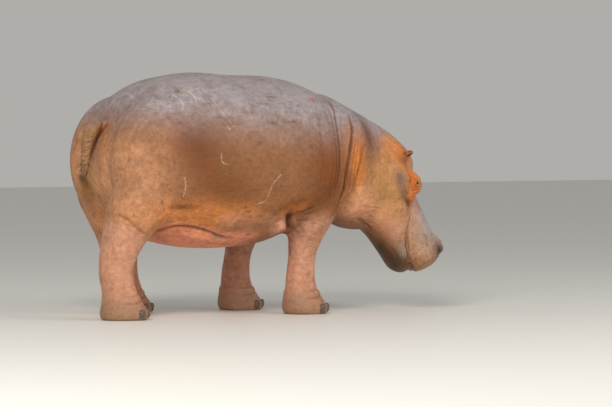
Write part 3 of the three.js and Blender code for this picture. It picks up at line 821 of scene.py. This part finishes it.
def mark(mesh, name, values):
    """Keeps a number per point in the mesh, for the material to read."""
    layer = mesh.attributes.new(name, "FLOAT", "POINT")
    layer.data.foreach_set("value", np.clip(values, 0, 1).astype(np.float32))


def patch(points, centre, reach, both=True):
    """1 at a centre and, if both, at its twin on the left, fading over a reach along each axis as a bell
    curve."""
    return np.exp(-((((on_right(points) if both else points) - centre) / reach) ** 2).sum(1))


def drawn(points, way, width, share=1.0, **settings):
    """1 along a path laid on the skin, fading on both its sides as a bell curve of a share of its width."""
    chosen, off, strength = beside(points, way, width, **settings)
    values = np.zeros(len(points))
    values[chosen] = strength * np.exp(-((off / share) ** 2))
    return values


# Where each colour of the hide lies. Folds get painted shade along their floor, and scars are pale.
points, up = read(hide), read(hide, "normal")[:, 2]
x, y, z = points.T
local = in_head(points)
on_head = smoothstep(local[:, 0], -0.02, 0.16) * smoothstep(x, 1.58, 1.8)
fold_shade_amounts = np.zeros(len(points))
for width, depth, way in folds:
    if depth > 0 and width < 0.02:
        fold_shade_amounts = np.maximum(fold_shade_amounts, min(depth / 0.012, 1) * drawn(points, way, width, 0.9))
mark(hide, "seam", fold_shade_amounts)
mark(hide, "scar", np.max([drawn(points, way, 0.0032, open_ends=True) for way in SCARS], axis=0))
spots = np.zeros(len(points))
scatter = np.random.default_rng(12)
for centre in scatter.uniform((0.0, -0.6, 0.6), (1.4, 0.6, 1.35), (110, 3)):
    on = points[((points - centre) ** 2).sum(1).argmin()]
    size = scatter.uniform(0.004, 0.01) * np.array((1, 1, scatter.uniform(0.6, 1.6)))
    near = near_path(points, on[None], 0.03)
    spots[near] = np.maximum(spots[near], np.exp(-(((points[near] - on) / size) ** 2).sum(1)))
mark(hide, "spot", spots)

# On the body: grey along the back, painted as the sky's reflection on its wet top, warm tan on the rump, a
# bare pink belly, pinkish legs over duller feet.
mark(hide, "back", (1 - on_head) * smoothstep(up, -0.15, 0.75) * smoothstep(z + 0.12 * x, 0.96, 1.38))
mark(hide, "rump", (1 - on_head) * (1 - smoothstep(x, 0.0, 0.62)) * (1 - smoothstep(z + 0.1 * up, 0.9, 1.3)))
# The belly's pink is its bare skin's own, painted lighter as a highlight of light thrown up from below.
belly_line = 0.475 + 0.05 * smoothstep(0.8 - x, 0.1, 0.5)
under = (1 - smoothstep(z, belly_line, belly_line + 0.055)) * smoothstep(-up, -0.1, 0.4)
mark(hide, "belly", under * smoothstep(x, 0.28, 0.36) * (1 - smoothstep(x, 0.75, 1.0)))
above_leg = z - np.where(x < 0.6, 0.585 - 0.6 * np.clip(x, 0, 0.3), 0.56)
on_leg = (1 - smoothstep(above_leg, -0.05, np.where(x < 0.6, 0.0, 0.08))) * (1 - smoothstep(-up, 0.5, 0.9))
mark(hide, "leg", (1 - on_head) * on_leg)
mark(hide, "foot", 1 - smoothstep(z, 0.04, 0.2))
mark(hide, "tail", ((x < 0.015) & (np.abs(y) < 0.07)) * (1 - smoothstep(z, 1.05, 1.12)))
mark(hide, "rust", drawn(points, TAIL_CREASE, 0.014, open_ends=True) * (x > 0))
for name, where, *places in [
    # Painted shade: dark brown on the flank behind the haunch, sloping down towards the belly.
    ("dusk", 1, (0.9, (0.43, -0.5, 1.0), (0.17, 0.4, 0.2)), (0.585, (0.62, -0.5, 0.74), (0.2, 0.4, 0.13))),
    # Painted shade in the hollow of the flank before the thigh.
    ("hollow", 1, (0.8, (0.37, -0.43, 0.645), (0.07, 0.2, 0.018))),
    ("low_flank", 1, (1, (0.5, -0.45, 0.6), (0.32, 0.4, 0.09))),
    # Painted shade: the shoulder darker brown than the flank.
    ("shoulder", 1, (1, (1.3, -0.45, 0.84), (0.15, 0.4, 0.28))),
    ("armpit", 1, (1, (1.08, -0.47, 0.63), (0.12, 0.2, 0.07))),
    ("lobe", 1, (1, (1.03, -0.4, 0.52), (0.06, 0.14, 0.045))),
    # Painted shadow in the floor of the armpit.
    ("pit", 1, (1, (1.055, -0.46, 0.58), (0.025, 0.09, 0.035))),
    # Painted light: the cleft between the haunches painted lighter against its own shade.
    ("cleft", 1, (1, (0.09, -0.06, 0.82), (0.07, 0.13, 0.17))),
    ("neck", (1 - on_head) * smoothstep(-up, -0.75, -0.2), (1, (1.55, -0.4, 0.93), (0.07, 0.4, 0.25))),
    ("neck_dark", 1 - on_head, (1, (1.655, -0.37, 1.03), (0.05, 0.25, 0.14))),
    # Painted highlight on the throat under the jowl.
    ("throat", smoothstep(-up, -0.6, 0.0), (1, (1.6, -0.34, 0.64), (0.1, 0.3, 0.09))),
]:
    mark(hide, name, where * sum(share * patch(points, *place) for share, *place in places))

# Marks on one side only: a brown stain and a small dark spot to the left of the tail, and two rosy spots on
# the right of the back.
for name, *places in [
    ("stain", (1, (0.058, 0.175, 0.775), (0.05, 0.035, 0.04)),
     (0.6, (0.096, 0.186, 0.7), (0.07, 0.07, 0.07))),
    ("soot", (1, (0.05, 0.19, 0.805), (0.04, 0.025, 0.02))),
    ("rosy", (1, (1.287, -0.333, 1.259), (0.03, 0.04, 0.015)),
     (0.8, (0.127, -0.226, 1.183), (0.04, 0.05, 0.03))),
]:
    mark(hide, name, sum(share * patch(points, *place, both=False) for share, *place in places))

# On the head, in its own frame: orange round the eyes, mauve down the nose as a painted reflection of the sky
# on its top, pink jowls and a dark chin.
own = in_ear(on_right(local), -1)
off = off_cup(own, 0.05, 1, 0.036)
on_ear = (np.linalg.norm(own, axis=1) < 0.1) & (np.abs(own[:, 1]) < 0.042)
on_ear = on_ear * smoothstep(own[:, 2], 0.03, 0.042)
out = own[:, 0] - 0.1 * own[:, 2]
mark(hide, "ear_rim", on_ear * smoothstep(off, 0.88, 1.02) * smoothstep(out, -0.016, -0.006))
mark(hide, "ear_cup", on_ear * (1 - smoothstep(off, 0.5, 0.85)) * (out > -0.02))
for name, centre, reach in [
    ("chin_front", (0.71, -0.18, -0.355), (0.12, 0.18, 0.09)),
    ("jowl", (0.36, -0.25, -0.35), (0.15, 0.3, 0.1)),
    ("cheek", (0.3, -0.27, -0.2), (0.13, 0.2, 0.1)),
    ("low_cheek", (0.57, -0.19, -0.27), (0.09, 0.15, 0.075)),
    ("eye_shade", (0.375, -0.23, -0.11), (0.08, 0.07, 0.028)),
    ("orbit", (0.35, -0.15, -0.02), (0.07, 0.06, 0.055)),
    ("orbit_low", (0.42, -0.16, -0.07), (0.04, 0.05, 0.035)),
    # Painted shade in the deep fold at the corner of the mouth.
    ("corner", (0.45, -0.19, -0.113), (0.03, 0.05, 0.018)),
    # Pale orange on the skull behind the eyes, painted lighter as a highlight.
    ("temple", (0.1, -0.2, 0.0), (0.1, 0.12, 0.08)),
    ("ear", (0.19, -0.17, -0.02), (0.07, 0.06, 0.08)),
    ("forehead", (0.22, 0, 0.05), (0.13, 0.105, 0.06)),
    ("grey_patch", (0.282, -0.24, -0.09), (0.058, 0.07, 0.038)),
    # Painted reflection of the sky: mauve grey along the top of the nose.
    ("bridge", (0.6, 0, -0.05), (0.2, 0.17, 0.07)),
    ("muzzle", (0.69, 0, -0.14), (0.18, 0.3, 0.12)),
    ("chin", (0.63, -0.16, -0.43), (0.26, 0.3, 0.12)),
    ("grey_chin", (0.67, -0.2, -0.275), (0.05, 0.1, 0.028)),
    # Painted shade: a dark patch where the nostril opens.
    ("nostril", (0.786, -0.13, -0.095), (0.046, 0.085, 0.044)),
    ("pitted", (0.76, -0.12, -0.22), (0.09, 0.2, 0.16)),
]:
    mark(hide, name, patch(local, centre, reach) * smoothstep(x, 1.5, 1.7))
mark(hide, "face", on_head)
at_lip = smoothstep(local[:, 0], 0.61, 0.64) * (1 - smoothstep(local[:, 0], 0.67, 0.72))
mark(hide, "lip", drawn(points, MOUTH, 0.009, open_ends=True) * at_lip)


def linear(code):
    """The colour of a hex code, from sRGB to linear: ((c + 0.055) / 1.055)^2.4, or c / 12.92 where dark."""
    channels = np.array([int(code[k : k + 2], 16) for k in (1, 3, 5)]) / 255
    return (*np.where(channels > 0.04045, ((channels + 0.055) / 1.055) ** 2.4, channels / 12.92), 1)


def node(tree, kind, inputs, **settings):
    """Adds a node; its inputs, by name or number, take a value or another node's output."""
    made = tree.nodes.new("ShaderNode" + kind)
    for name, value in settings.items():
        setattr(made, name, value)
    for name, value in inputs.items():
        if isinstance(value, bpy.types.NodeSocket):
            tree.links.new(value, made.inputs[name])
        else:
            made.inputs[name].default_value = value
    return made


def material(name):
    """A new material with its node tree and its surface shader."""
    made = bpy.data.materials.new(name)
    made.use_nodes = True
    return made, made.node_tree, made.node_tree.nodes["Principled BSDF"]


# Hippopotamus hide: bare, finely cracked skin, moist enough to shine a little. Grey to mauve on the back, a
# painted reflection of the sky; tan to rust on the flanks, pink where it is thin. Some patches are painted
# shade or painted highlights. Patches blend along ragged edges over small cracks and pores.
hide_stuff, tree, surface = material("moist_bare_hide")
BLOTCH, MOTTLE, CRACK, WOBBLE, PIT = 0.11, 0.03, 0.009, 1 / 70, 0.021  # metres across
PORE = 0.006  # twice its real size, to show
UPRIGHT_WRINKLE, LONG_SCRATCH = (0.02, 0.02, 0.11), (0.12, 0.018, 0.018)
place = node(tree, "TexCoord", {}).outputs["Object"]
pore = node(tree, "TexNoise", {"Vector": place, "Scale": 1 / PORE, "Detail": 2.0}).outputs[0]
patterns = []
for size, detail, rough in [
    ((BLOTCH, BLOTCH, BLOTCH), 5.0, 0.6), ((MOTTLE, MOTTLE, MOTTLE), 6.0, 0.7),
    (UPRIGHT_WRINKLE, 4.0, 0.6), (LONG_SCRATCH, 5.0, 0.65),
]:
    scaled = node(tree, "VectorMath", {0: place, 1: [1 / s for s in size]}, operation="MULTIPLY").outputs[0]
    inputs = {"Vector": scaled, "Scale": 1.0, "Detail": detail, "Roughness": rough}
    patterns.append(node(tree, "TexNoise", inputs).outputs[0])
blotch, mottle, wrinkle, scratch = patterns
wavy = node(tree, "TexNoise", {"Vector": place, "Scale": 1 / WOBBLE}).outputs[1]
bent = node(tree, "Mix", {0: 0.01, 4: place, 5: wavy}, data_type="VECTOR").outputs[1]
crack = node(tree, "TexVoronoi", {"Vector": bent, "Scale": 1 / CRACK}, feature="DISTANCE_TO_EDGE").outputs[0]
ragged = node(tree, "Mix", {0: 0.4, 2: blotch, 3: mottle}).outputs[0]
ragged = node(tree, "MapRange", {0: ragged, 1: 0.3, 2: 0.7, 3: 0.55, 4: 1.45}).outputs[0]
colour = node(tree, "RGB", {}).outputs[0]
colour.default_value = linear("#8e5f3c")
# Painted shade behind the haunch, over the shoulder, in the flank's hollow, the armpit, the mouth's corner
# and the nostril; a painted sky reflection on the back and the top of the nose; painted highlights on the
# throat, the temple and over the pink of the belly; and the cleft of the rump painted lighter against its
# shade.
for name, code in [
    ("rump", "#b98460"), ("low_flank", "#dc8a4c"), ("dusk", "#6c3a14"), ("hollow", "#5e3517"),
    ("shoulder", "#7c4319"), ("back", "#9a9195"), ("belly", "#f09a76"), ("leg", "#c68f73"),
    ("foot", "#a07a60"), ("armpit", "#945424"), ("lobe", "#f4b198"), ("pit", "#5a3016"),
    ("cleft", "#d59a6e"), ("neck", "#c97835"), ("throat", "#f0ae84"), ("neck_dark", "#775040"),
    ("tail", "#a67d58"), ("rust", "#8f4417"), ("stain", "#8a5f22"), ("soot", "#2e2016"), ("rosy", "#a8716b"),
    ("face", "#c28756"), ("temple", "#d58c55"), ("jowl", "#eaa57e"), ("cheek", "#b28252"),
    ("low_cheek", "#d09275"), ("eye_shade", "#8a6446"), ("muzzle", "#8a837c"), ("bridge", "#a49ca8"),
    ("orbit", "#dd720c"), ("orbit_low", "#cf6812"), ("corner", "#5c3418"), ("ear", "#9c5422"),
    ("ear_rim", "#53301c"), ("ear_cup", "#7a4326"), ("forehead", "#ab8f78"), ("grey_patch", "#7f6252"),
    ("chin", "#402b18"), ("chin_front", "#4f3a27"), ("grey_chin", "#93826f"), ("lip", "#d08f80"),
    ("nostril", "#352010"),
]:
    amount = node(tree, "Attribute", {}, attribute_name=name).outputs["Fac"]
    amount = node(tree, "Math", {0: amount, 1: ragged}, operation="MULTIPLY", use_clamp=True).outputs[0]
    colour = node(tree, "Mix", {0: amount, 6: colour, 7: linear(code)}, data_type="RGBA").outputs[2]
for pattern, darkest, lightest in [(blotch, 0.86, 1.1), (mottle, 0.76, 1.18), (pore, 0.86, 1.1)]:
    shade = node(tree, "MapRange", {0: pattern, 1: 0.3, 2: 0.7, 3: darkest, 4: lightest}).outputs[0]
    inputs = {0: 1.0, 6: colour, 7: shade}
    colour = node(tree, "Mix", inputs, data_type="RGBA", blend_type="MULTIPLY").outputs[2]
pits = node(tree, "TexVoronoi", {"Vector": place, "Scale": 1 / PIT}).outputs["Distance"]
pits = node(tree, "MapRange", {0: pits, 1: 0.3, 2: 0.16}).outputs[0]
broken = node(tree, "MapRange", {0: mottle, 1: 0.4, 2: 0.56, 3: 0.105, 4: 0.7}).outputs[0]
for name, code, most in [
    ("pitted", "#4a3628", pits), ("scar", "#d2c3b2", broken), ("spot", "#54453c", 0.6),
    # Painted shade along the floor of each fold.
    ("seam", "#552d16", 0.9),
]:
    amount = node(tree, "Attribute", {}, attribute_name=name).outputs["Fac"]
    amount = node(tree, "Math", {0: amount, 1: most}, operation="MULTIPLY").outputs[0]
    colour = node(tree, "Mix", {0: amount, 6: colour, 7: linear(code)}, data_type="RGBA").outputs[2]
tree.links.new(colour, surface.inputs["Base Color"])
rough = node(tree, "MapRange", {0: mottle, 1: 0.3, 2: 0.7, 3: 0.42, 4: 0.58}).outputs[0]
tree.links.new(rough, surface.inputs["Roughness"])
surface.inputs["IOR"].default_value = 1.4
surface.inputs["Specular IOR Level"].default_value = 0.3
cracked = node(tree, "MapRange", {0: crack, 1: 0.0, 2: 0.14}).outputs[0]
relief = node(tree, "Bump", {"Height": cracked, "Distance": 0.0008, "Strength": 0.35}).outputs[0]
for pattern, deep, strength in [
    (pore, 0.0015, 0.3), (mottle, 0.008, 0.65), (wrinkle, 0.01, 0.55), (scratch, 0.01, 0.55)
]:
    inputs = {"Height": pattern, "Distance": deep, "Strength": strength, "Normal": relief}
    relief = node(tree, "Bump", inputs).outputs[0]
tree.links.new(relief, surface.inputs["Normal"])


def shown(name, mesh, stuff, slot, *nodes, smooth=True):
    """Makes the mesh a piece in the shared frame that stands for these parts of the model."""
    write(mesh, read(mesh) + SHIFT)
    mesh.polygons.foreach_set("use_smooth", np.full(len(mesh.polygons), smooth))
    mesh.materials.append(stuff)
    piece = bpy.data.objects.new(name, mesh)
    bpy.context.scene.collection.objects.link(piece)
    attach(piece, "root")
    if slot:
        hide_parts(*nodes)


limbs = [f"{part}_{name}" for name in legs for part in ("leg", "foot")]
others = ["trunk", "neck", "head", "lower_jaw", "tail", "ear_left", "ear_right"]
shown("skin", hide, hide_stuff, "skin", *others, *limbs)

# ---------------------------------------------------------------- eyes
# Wet brown eyeballs with a bulging cornea, looking out to the sides. Each is a firm ball, sunk in its socket
# and held behind thick lids, so that only the iris and a little of its dark rim show.
IRIS, PUPIL = 34, 15  # degrees off the line of sight


def eyeball(side):
    """Rings round the line of sight: the radius, a little more over the iris where the cornea bulges."""
    along, over, gaze = eye_axes(side)
    off = np.radians(np.concatenate([np.linspace(1, 45, 30), np.linspace(49, 178, 34)]))[:, None]
    turn = np.linspace(0, 2 * np.pi, 64, endpoint=False)[None, :]
    radius = EYE_RADIUS * (0.985 + 0.05 * np.exp(-((off / math.radians(30)) ** 2)))
    unit = [np.sin(off) * np.cos(turn), np.sin(off) * np.sin(turn), np.cos(off) * np.ones_like(turn)]
    rings = sum((radius * part)[..., None] * axis for part, axis in zip(unit, (along, over, gaze)))
    vertices, faces = closed_loft(rings[::-1])
    return put((vertices + np.array(EYE) * (1, side, 1), faces), HEAD), gaze @ HEAD[1]


# A wet eyeball: clear cornea over a brown iris and a black pupil, kept under a film of tears that mirrors the
# lamps as sharply as glass. Fine streaks make the edges of the iris uneven.
STREAK = 1 / 420  # metres across
eye_stuff, tree, surface = material("wet_eyeball")
place = node(tree, "TexCoord", {}).outputs["Object"]
streak = node(tree, "TexNoise", {"Vector": place, "Scale": 1 / STREAK}).outputs[0]
shift = node(tree, "MapRange", {0: streak, 3: -0.03, 4: 0.03}).outputs[0]
off_axis = node(tree, "Attribute", {}, attribute_name="off_axis").outputs["Fac"]
ring = node(tree, "Math", {0: off_axis, 1: shift}, operation="ADD").outputs[0]
ramp = node(tree, "ValToRGB", {0: ring})
stops = [
    (0.0, "#050303"), (PUPIL / 90, "#0a0504"), (PUPIL / 90 + 0.03, "#4a2a12"), (IRIS / 90, "#2c160a"),
    (IRIS / 90 + 0.04, "#160b07"), (0.62, "#5a3226"),
]
for position, _ in stops[1:-1]:
    ramp.color_ramp.elements.new(position)
for element, (position, code) in zip(ramp.color_ramp.elements, stops):
    element.position, element.color = position, linear(code)
tree.links.new(ramp.outputs[0], surface.inputs["Base Color"])
surface.inputs["Roughness"].default_value = 0.12
surface.inputs["Coat Weight"].default_value = 1.0
surface.inputs["Coat Roughness"].default_value = 0.03
surface.inputs["IOR"].default_value = 1.376
for name, side in SIDES.items():
    shape, gaze = eyeball(side)
    ball = mesh_of(f"eyeball_{name}", shape)
    away = read(ball) - read(ball).mean(0)
    angle = np.arccos(np.clip(away @ gaze / np.linalg.norm(away, axis=1), -1, 1))
    mark(ball, "off_axis", angle / math.radians(90))
    shown(ball.name, ball, eye_stuff, "eye", f"eye_{name}")

# ---------------------------------------------------------------- nails
# Four short blunt nails of dark horn on each foot, ridged from root to tip. Each grows out of the skin over
# the front of its toe, and the ground wears its end off.
NAIL_HALF = np.array((0.019, 0.024, 0.028))  # out of the toe, across it and up it
NAIL_HEIGHT = 0.034


def squarer(value):
    """A sine or cosine pushed towards -1 and 1: its size is raised to the power 0.8."""
    return np.sign(value) * np.abs(value) ** 0.8


def nail(toe, *stance):
    """A squared ball at the tip of a toe, flattened in front, with its lower end cut off blunt."""
    x = leg_at(NAIL_HEIGHT, *stance)[0]
    y, half_length, half_width = leg_at(FOOT_HEIGHT, *stance)[1:]
    a, b = squared_oval(toe, 1.15 * half_length, 1.15 * half_width, 1.15 * half_width, 2.2)
    tip = np.array((x + 1.09 * a, y + 1.09 * b, NAIL_HEIGHT))
    out = np.array((math.cos(toe) * half_width, math.sin(toe) * half_length, 0))
    out /= np.linalg.norm(out)
    polar = np.linspace(0.06, np.pi - 0.06, 26)[:, None]
    turn = np.linspace(0, 2 * np.pi, 36, endpoint=False)[None, :]
    front = squarer(np.sin(polar)) * np.cos(turn) * (1 + 0.018 * np.cos(14 * turn))
    wide = squarer(np.sin(polar)) * squarer(np.sin(turn))
    high = np.maximum(squarer(np.cos(polar) * np.ones_like(turn)), -0.82)
    axes = np.stack([out, np.cross((0, 0, 1), out), (0.12 * out[0], 0.12 * out[1], 1)])
    rings = np.stack([front, wide, high], -1) * NAIL_HALF @ axes
    return closed_loft(tip - 0.009 * out + rings[::-1])


# Dark horn, scuffed by gravel and dried mud: a paler grain stands out of it, and it shines only softly.
GRAIN = 1 / 160  # metres across
horn, tree, surface = material("worn_dark_horn")
place = node(tree, "TexCoord", {}).outputs["Object"]
grain = node(tree, "TexNoise", {"Vector": place, "Scale": 1 / GRAIN, "Detail": 4.0}).outputs[0]
ramp = node(tree, "ValToRGB", {0: grain})
for element, (position, code) in zip(ramp.color_ramp.elements, [(0.3, "#3b2d25"), (0.75, "#7d6a5a")]):
    element.position, element.color = position, linear(code)
tree.links.new(ramp.outputs[0], surface.inputs["Base Color"])
surface.inputs["Roughness"].default_value = 0.48
relief = node(tree, "Bump", {"Height": grain, "Distance": 0.001, "Strength": 0.6})
tree.links.new(relief.outputs[0], surface.inputs["Normal"])
for name, stance in legs.items():
    for number, toe in enumerate(TOES, 1):
        mesh = mesh_of(f"toenail_{name}_{number}", nail(toe, *stance))
        shown(mesh.name, mesh, horn, "nail", f"nail_{name}_{number}")

# ---------------------------------------------------------------- bristles
# Stiff black hairs, the only ones on the body: sparse on the lips, in a fringe round each ear and along the
# tail. Each is one solid spike that grows out of the hide and droops a little.
WHISKERS, FRINGE, BRUSH = 220, 90, 110
UNWRAPPED = 0.003  # the side of each hair's patch in the map


def bristles(name, roots, ways, length, thickness, unwrapped):
    """Four-sided spikes of shrinking rings: root + way x length x share, dropping with share^2. Each has a
    small patch of the OFBake map, at its root's place on the unwrapped hide."""
    count = len(roots)
    ways = ways / np.linalg.norm(ways, axis=1)[:, None]
    share = np.array([0, 0.4, 0.75, 1.0])
    aside = np.cross(ways, (0.36, 0.48, 0.8))
    aside /= np.linalg.norm(aside, axis=1)[:, None]
    across = np.stack([aside, np.cross(ways, aside), -aside, -np.cross(ways, aside)], 1)
    middle = (roots - 0.002 * ways)[:, None] + (length[:, None] * share)[..., None] * ways[:, None]
    middle[:, :, 2] -= 0.25 * length[:, None] * share**2
    rings = middle[:, :, None] + (thickness * (1 - 0.85 * share))[None, :, None, None] * across[:, None]
    corner = np.arange(16).reshape(4, 4)
    turned = np.roll(corner, -1, axis=1)
    sides = np.stack([corner[:-1], turned[:-1], turned[1:], corner[1:]], -1).reshape(-1, 4)
    faces = np.vstack([sides, corner[0][None, ::-1], corner[3][None]])
    faces = (faces[None] + 16 * np.arange(count)[:, None, None]).reshape(-1, 4)
    mesh = mesh_of(name, (rings.reshape(-1, 3), faces.tolist()))
    square = np.stack([np.tile([0, 1, 1, 0], 4), np.repeat(share, 4)], -1) * UNWRAPPED
    places = (unwrapped[:, None] + square[None]).reshape(-1, 2)
    mesh.uv_layers.new(name="OFBake").data.foreach_set("uv", places[faces.ravel()].astype(np.float32).ravel())
    shown(name, mesh, keratin, None, smooth=False)


# Black keratin: smooth, wiry and opaque, with no more than a thin glint along each hair.
keratin, _, surface = material("black_keratin")
surface.inputs["Base Color"].default_value = linear("#2b211b")
surface.inputs["Roughness"].default_value = 0.4
growth = np.random.default_rng(7)
points, normals = read(hide) - SHIFT, read(hide, "normal")
local = in_head(points)
chance = patch(local, (0.76, -0.14, -0.2), (0.08, 0.2, 0.13)) * (local[:, 0] > 0.6)
chance[within(points, MOUTH, 0.02)] = 0
roots = growth.choice(len(points), WHISKERS, replace=False, p=chance / chance.sum())
turn = np.arctan2(local[roots, 1], local[roots, 2] + 0.22)
bristles(
    "whiskers", points[roots], normals[roots] + 0.6 * HEAD[1][0], growth.uniform(0.006, 0.016, WHISKERS),
    0.0004, np.stack([0.5 + 0.45 * turn / np.pi, local[roots, 0] / HEAD_LENGTH], -1),
)
for name, side in SIDES.items():
    own = in_ear(local, side)
    at_rim = (np.abs(off_cup(own, 0.05, 1, 0.036) - 0.95) < 0.12) & (own[:, 2] > 0.035)
    roots = growth.choice(np.flatnonzero(at_rim & (np.linalg.norm(own, axis=1) < 0.1)), FRINGE)
    bristles(
        f"ear_fringe_{name}", points[roots], normals[roots] + 0.8 * ear_place(side)[1].T[2] @ HEAD[1],
        growth.uniform(0.006, 0.014, FRINGE), 0.0005, own[roots, 1:] * 5 + (0.5, 0.3),
    )
x, y, z = points.T
roots = growth.choice(np.flatnonzero((x < 0) & (np.abs(y) < 0.04) & (z > 0.8) & (z < 0.9)), BRUSH)
bristles(
    "tail_bristles", points[roots], normals[roots] - (0, 0, 0.8), growth.uniform(0.012, 0.03, BRUSH), 0.0007,
    np.stack([0.5 + 5 * y[roots], 5 * (z[roots] - 0.8)], -1),
)

# ---------------------------------------------------------------- floor, light and camera
# A plain pale floor, one large soft lamp over the camera's left shoulder and a weaker one on the right,
# and a long lens from 20 m away.
bpy.ops.mesh.primitive_plane_add(size=60)
floor = bpy.context.object
floor.name = "floor"
# Pale floor: an even, dull coat that takes soft shadows and throws a little light back up.
pale_floor, _, surface = material("pale_floor")
surface.inputs["Base Color"].default_value = (0.72, 0.72, 0.7, 1)
floor.data.materials.append(pale_floor)
world = bpy.data.worlds.new("studio")
bpy.context.scene.world = world
world.use_nodes = True
sky = world.node_tree.nodes["Background"]
sky.inputs["Color"].default_value = (0.94, 0.92, 0.88, 1)
sky.inputs["Strength"].default_value = 0.46


def lamp(name, place, target, size, power, colour):
    """A square area lamp that faces a point."""
    data = bpy.data.lights.new(name, "AREA")
    data.size, data.energy, data.color = size, power, colour
    obj = bpy.data.objects.new(name, data)
    bpy.context.scene.collection.objects.link(obj)
    obj.location = place
    direction = np.array(target, float) - place
    obj.rotation_euler = Vector(direction).to_track_quat("-Z", "Y").to_euler()


lamp("key", (-6.5, -7.5, 6.5), (0, 0, 0.8), 4.5, 900, (1, 0.95, 0.87))
lamp("fill", (5, -8, 4.5), (0, 0, 0.7), 5, 330, (1, 0.96, 0.9))

VIEW_TURN = math.radians(31)
CAMERA_HEIGHT, CAMERA_BACK, CAMERA_ASIDE = 1.2, 19.6, 1.245
VIEW_DROP = 0.0275  # metres down for each metre ahead
camera = bpy.data.objects.new("camera", bpy.data.cameras.new("camera"))
bpy.context.scene.collection.objects.link(camera)
bpy.context.scene.camera = camera
bpy.context.scene.view_settings.view_transform = "Standard"
camera.data.lens, camera.data.sensor_width = 200, 36
camera.data.clip_end = 200
right = np.array((math.cos(VIEW_TURN), -math.sin(VIEW_TURN), 0))
ahead = np.array((math.sin(VIEW_TURN), math.cos(VIEW_TURN), 0))
camera.location = right * CAMERA_ASIDE - ahead * CAMERA_BACK + (0, 0, CAMERA_HEIGHT) + SHIFT
camera.rotation_euler = Vector(ahead - (0, 0, VIEW_DROP)).to_track_quat("-Z", "Y").to_euler()
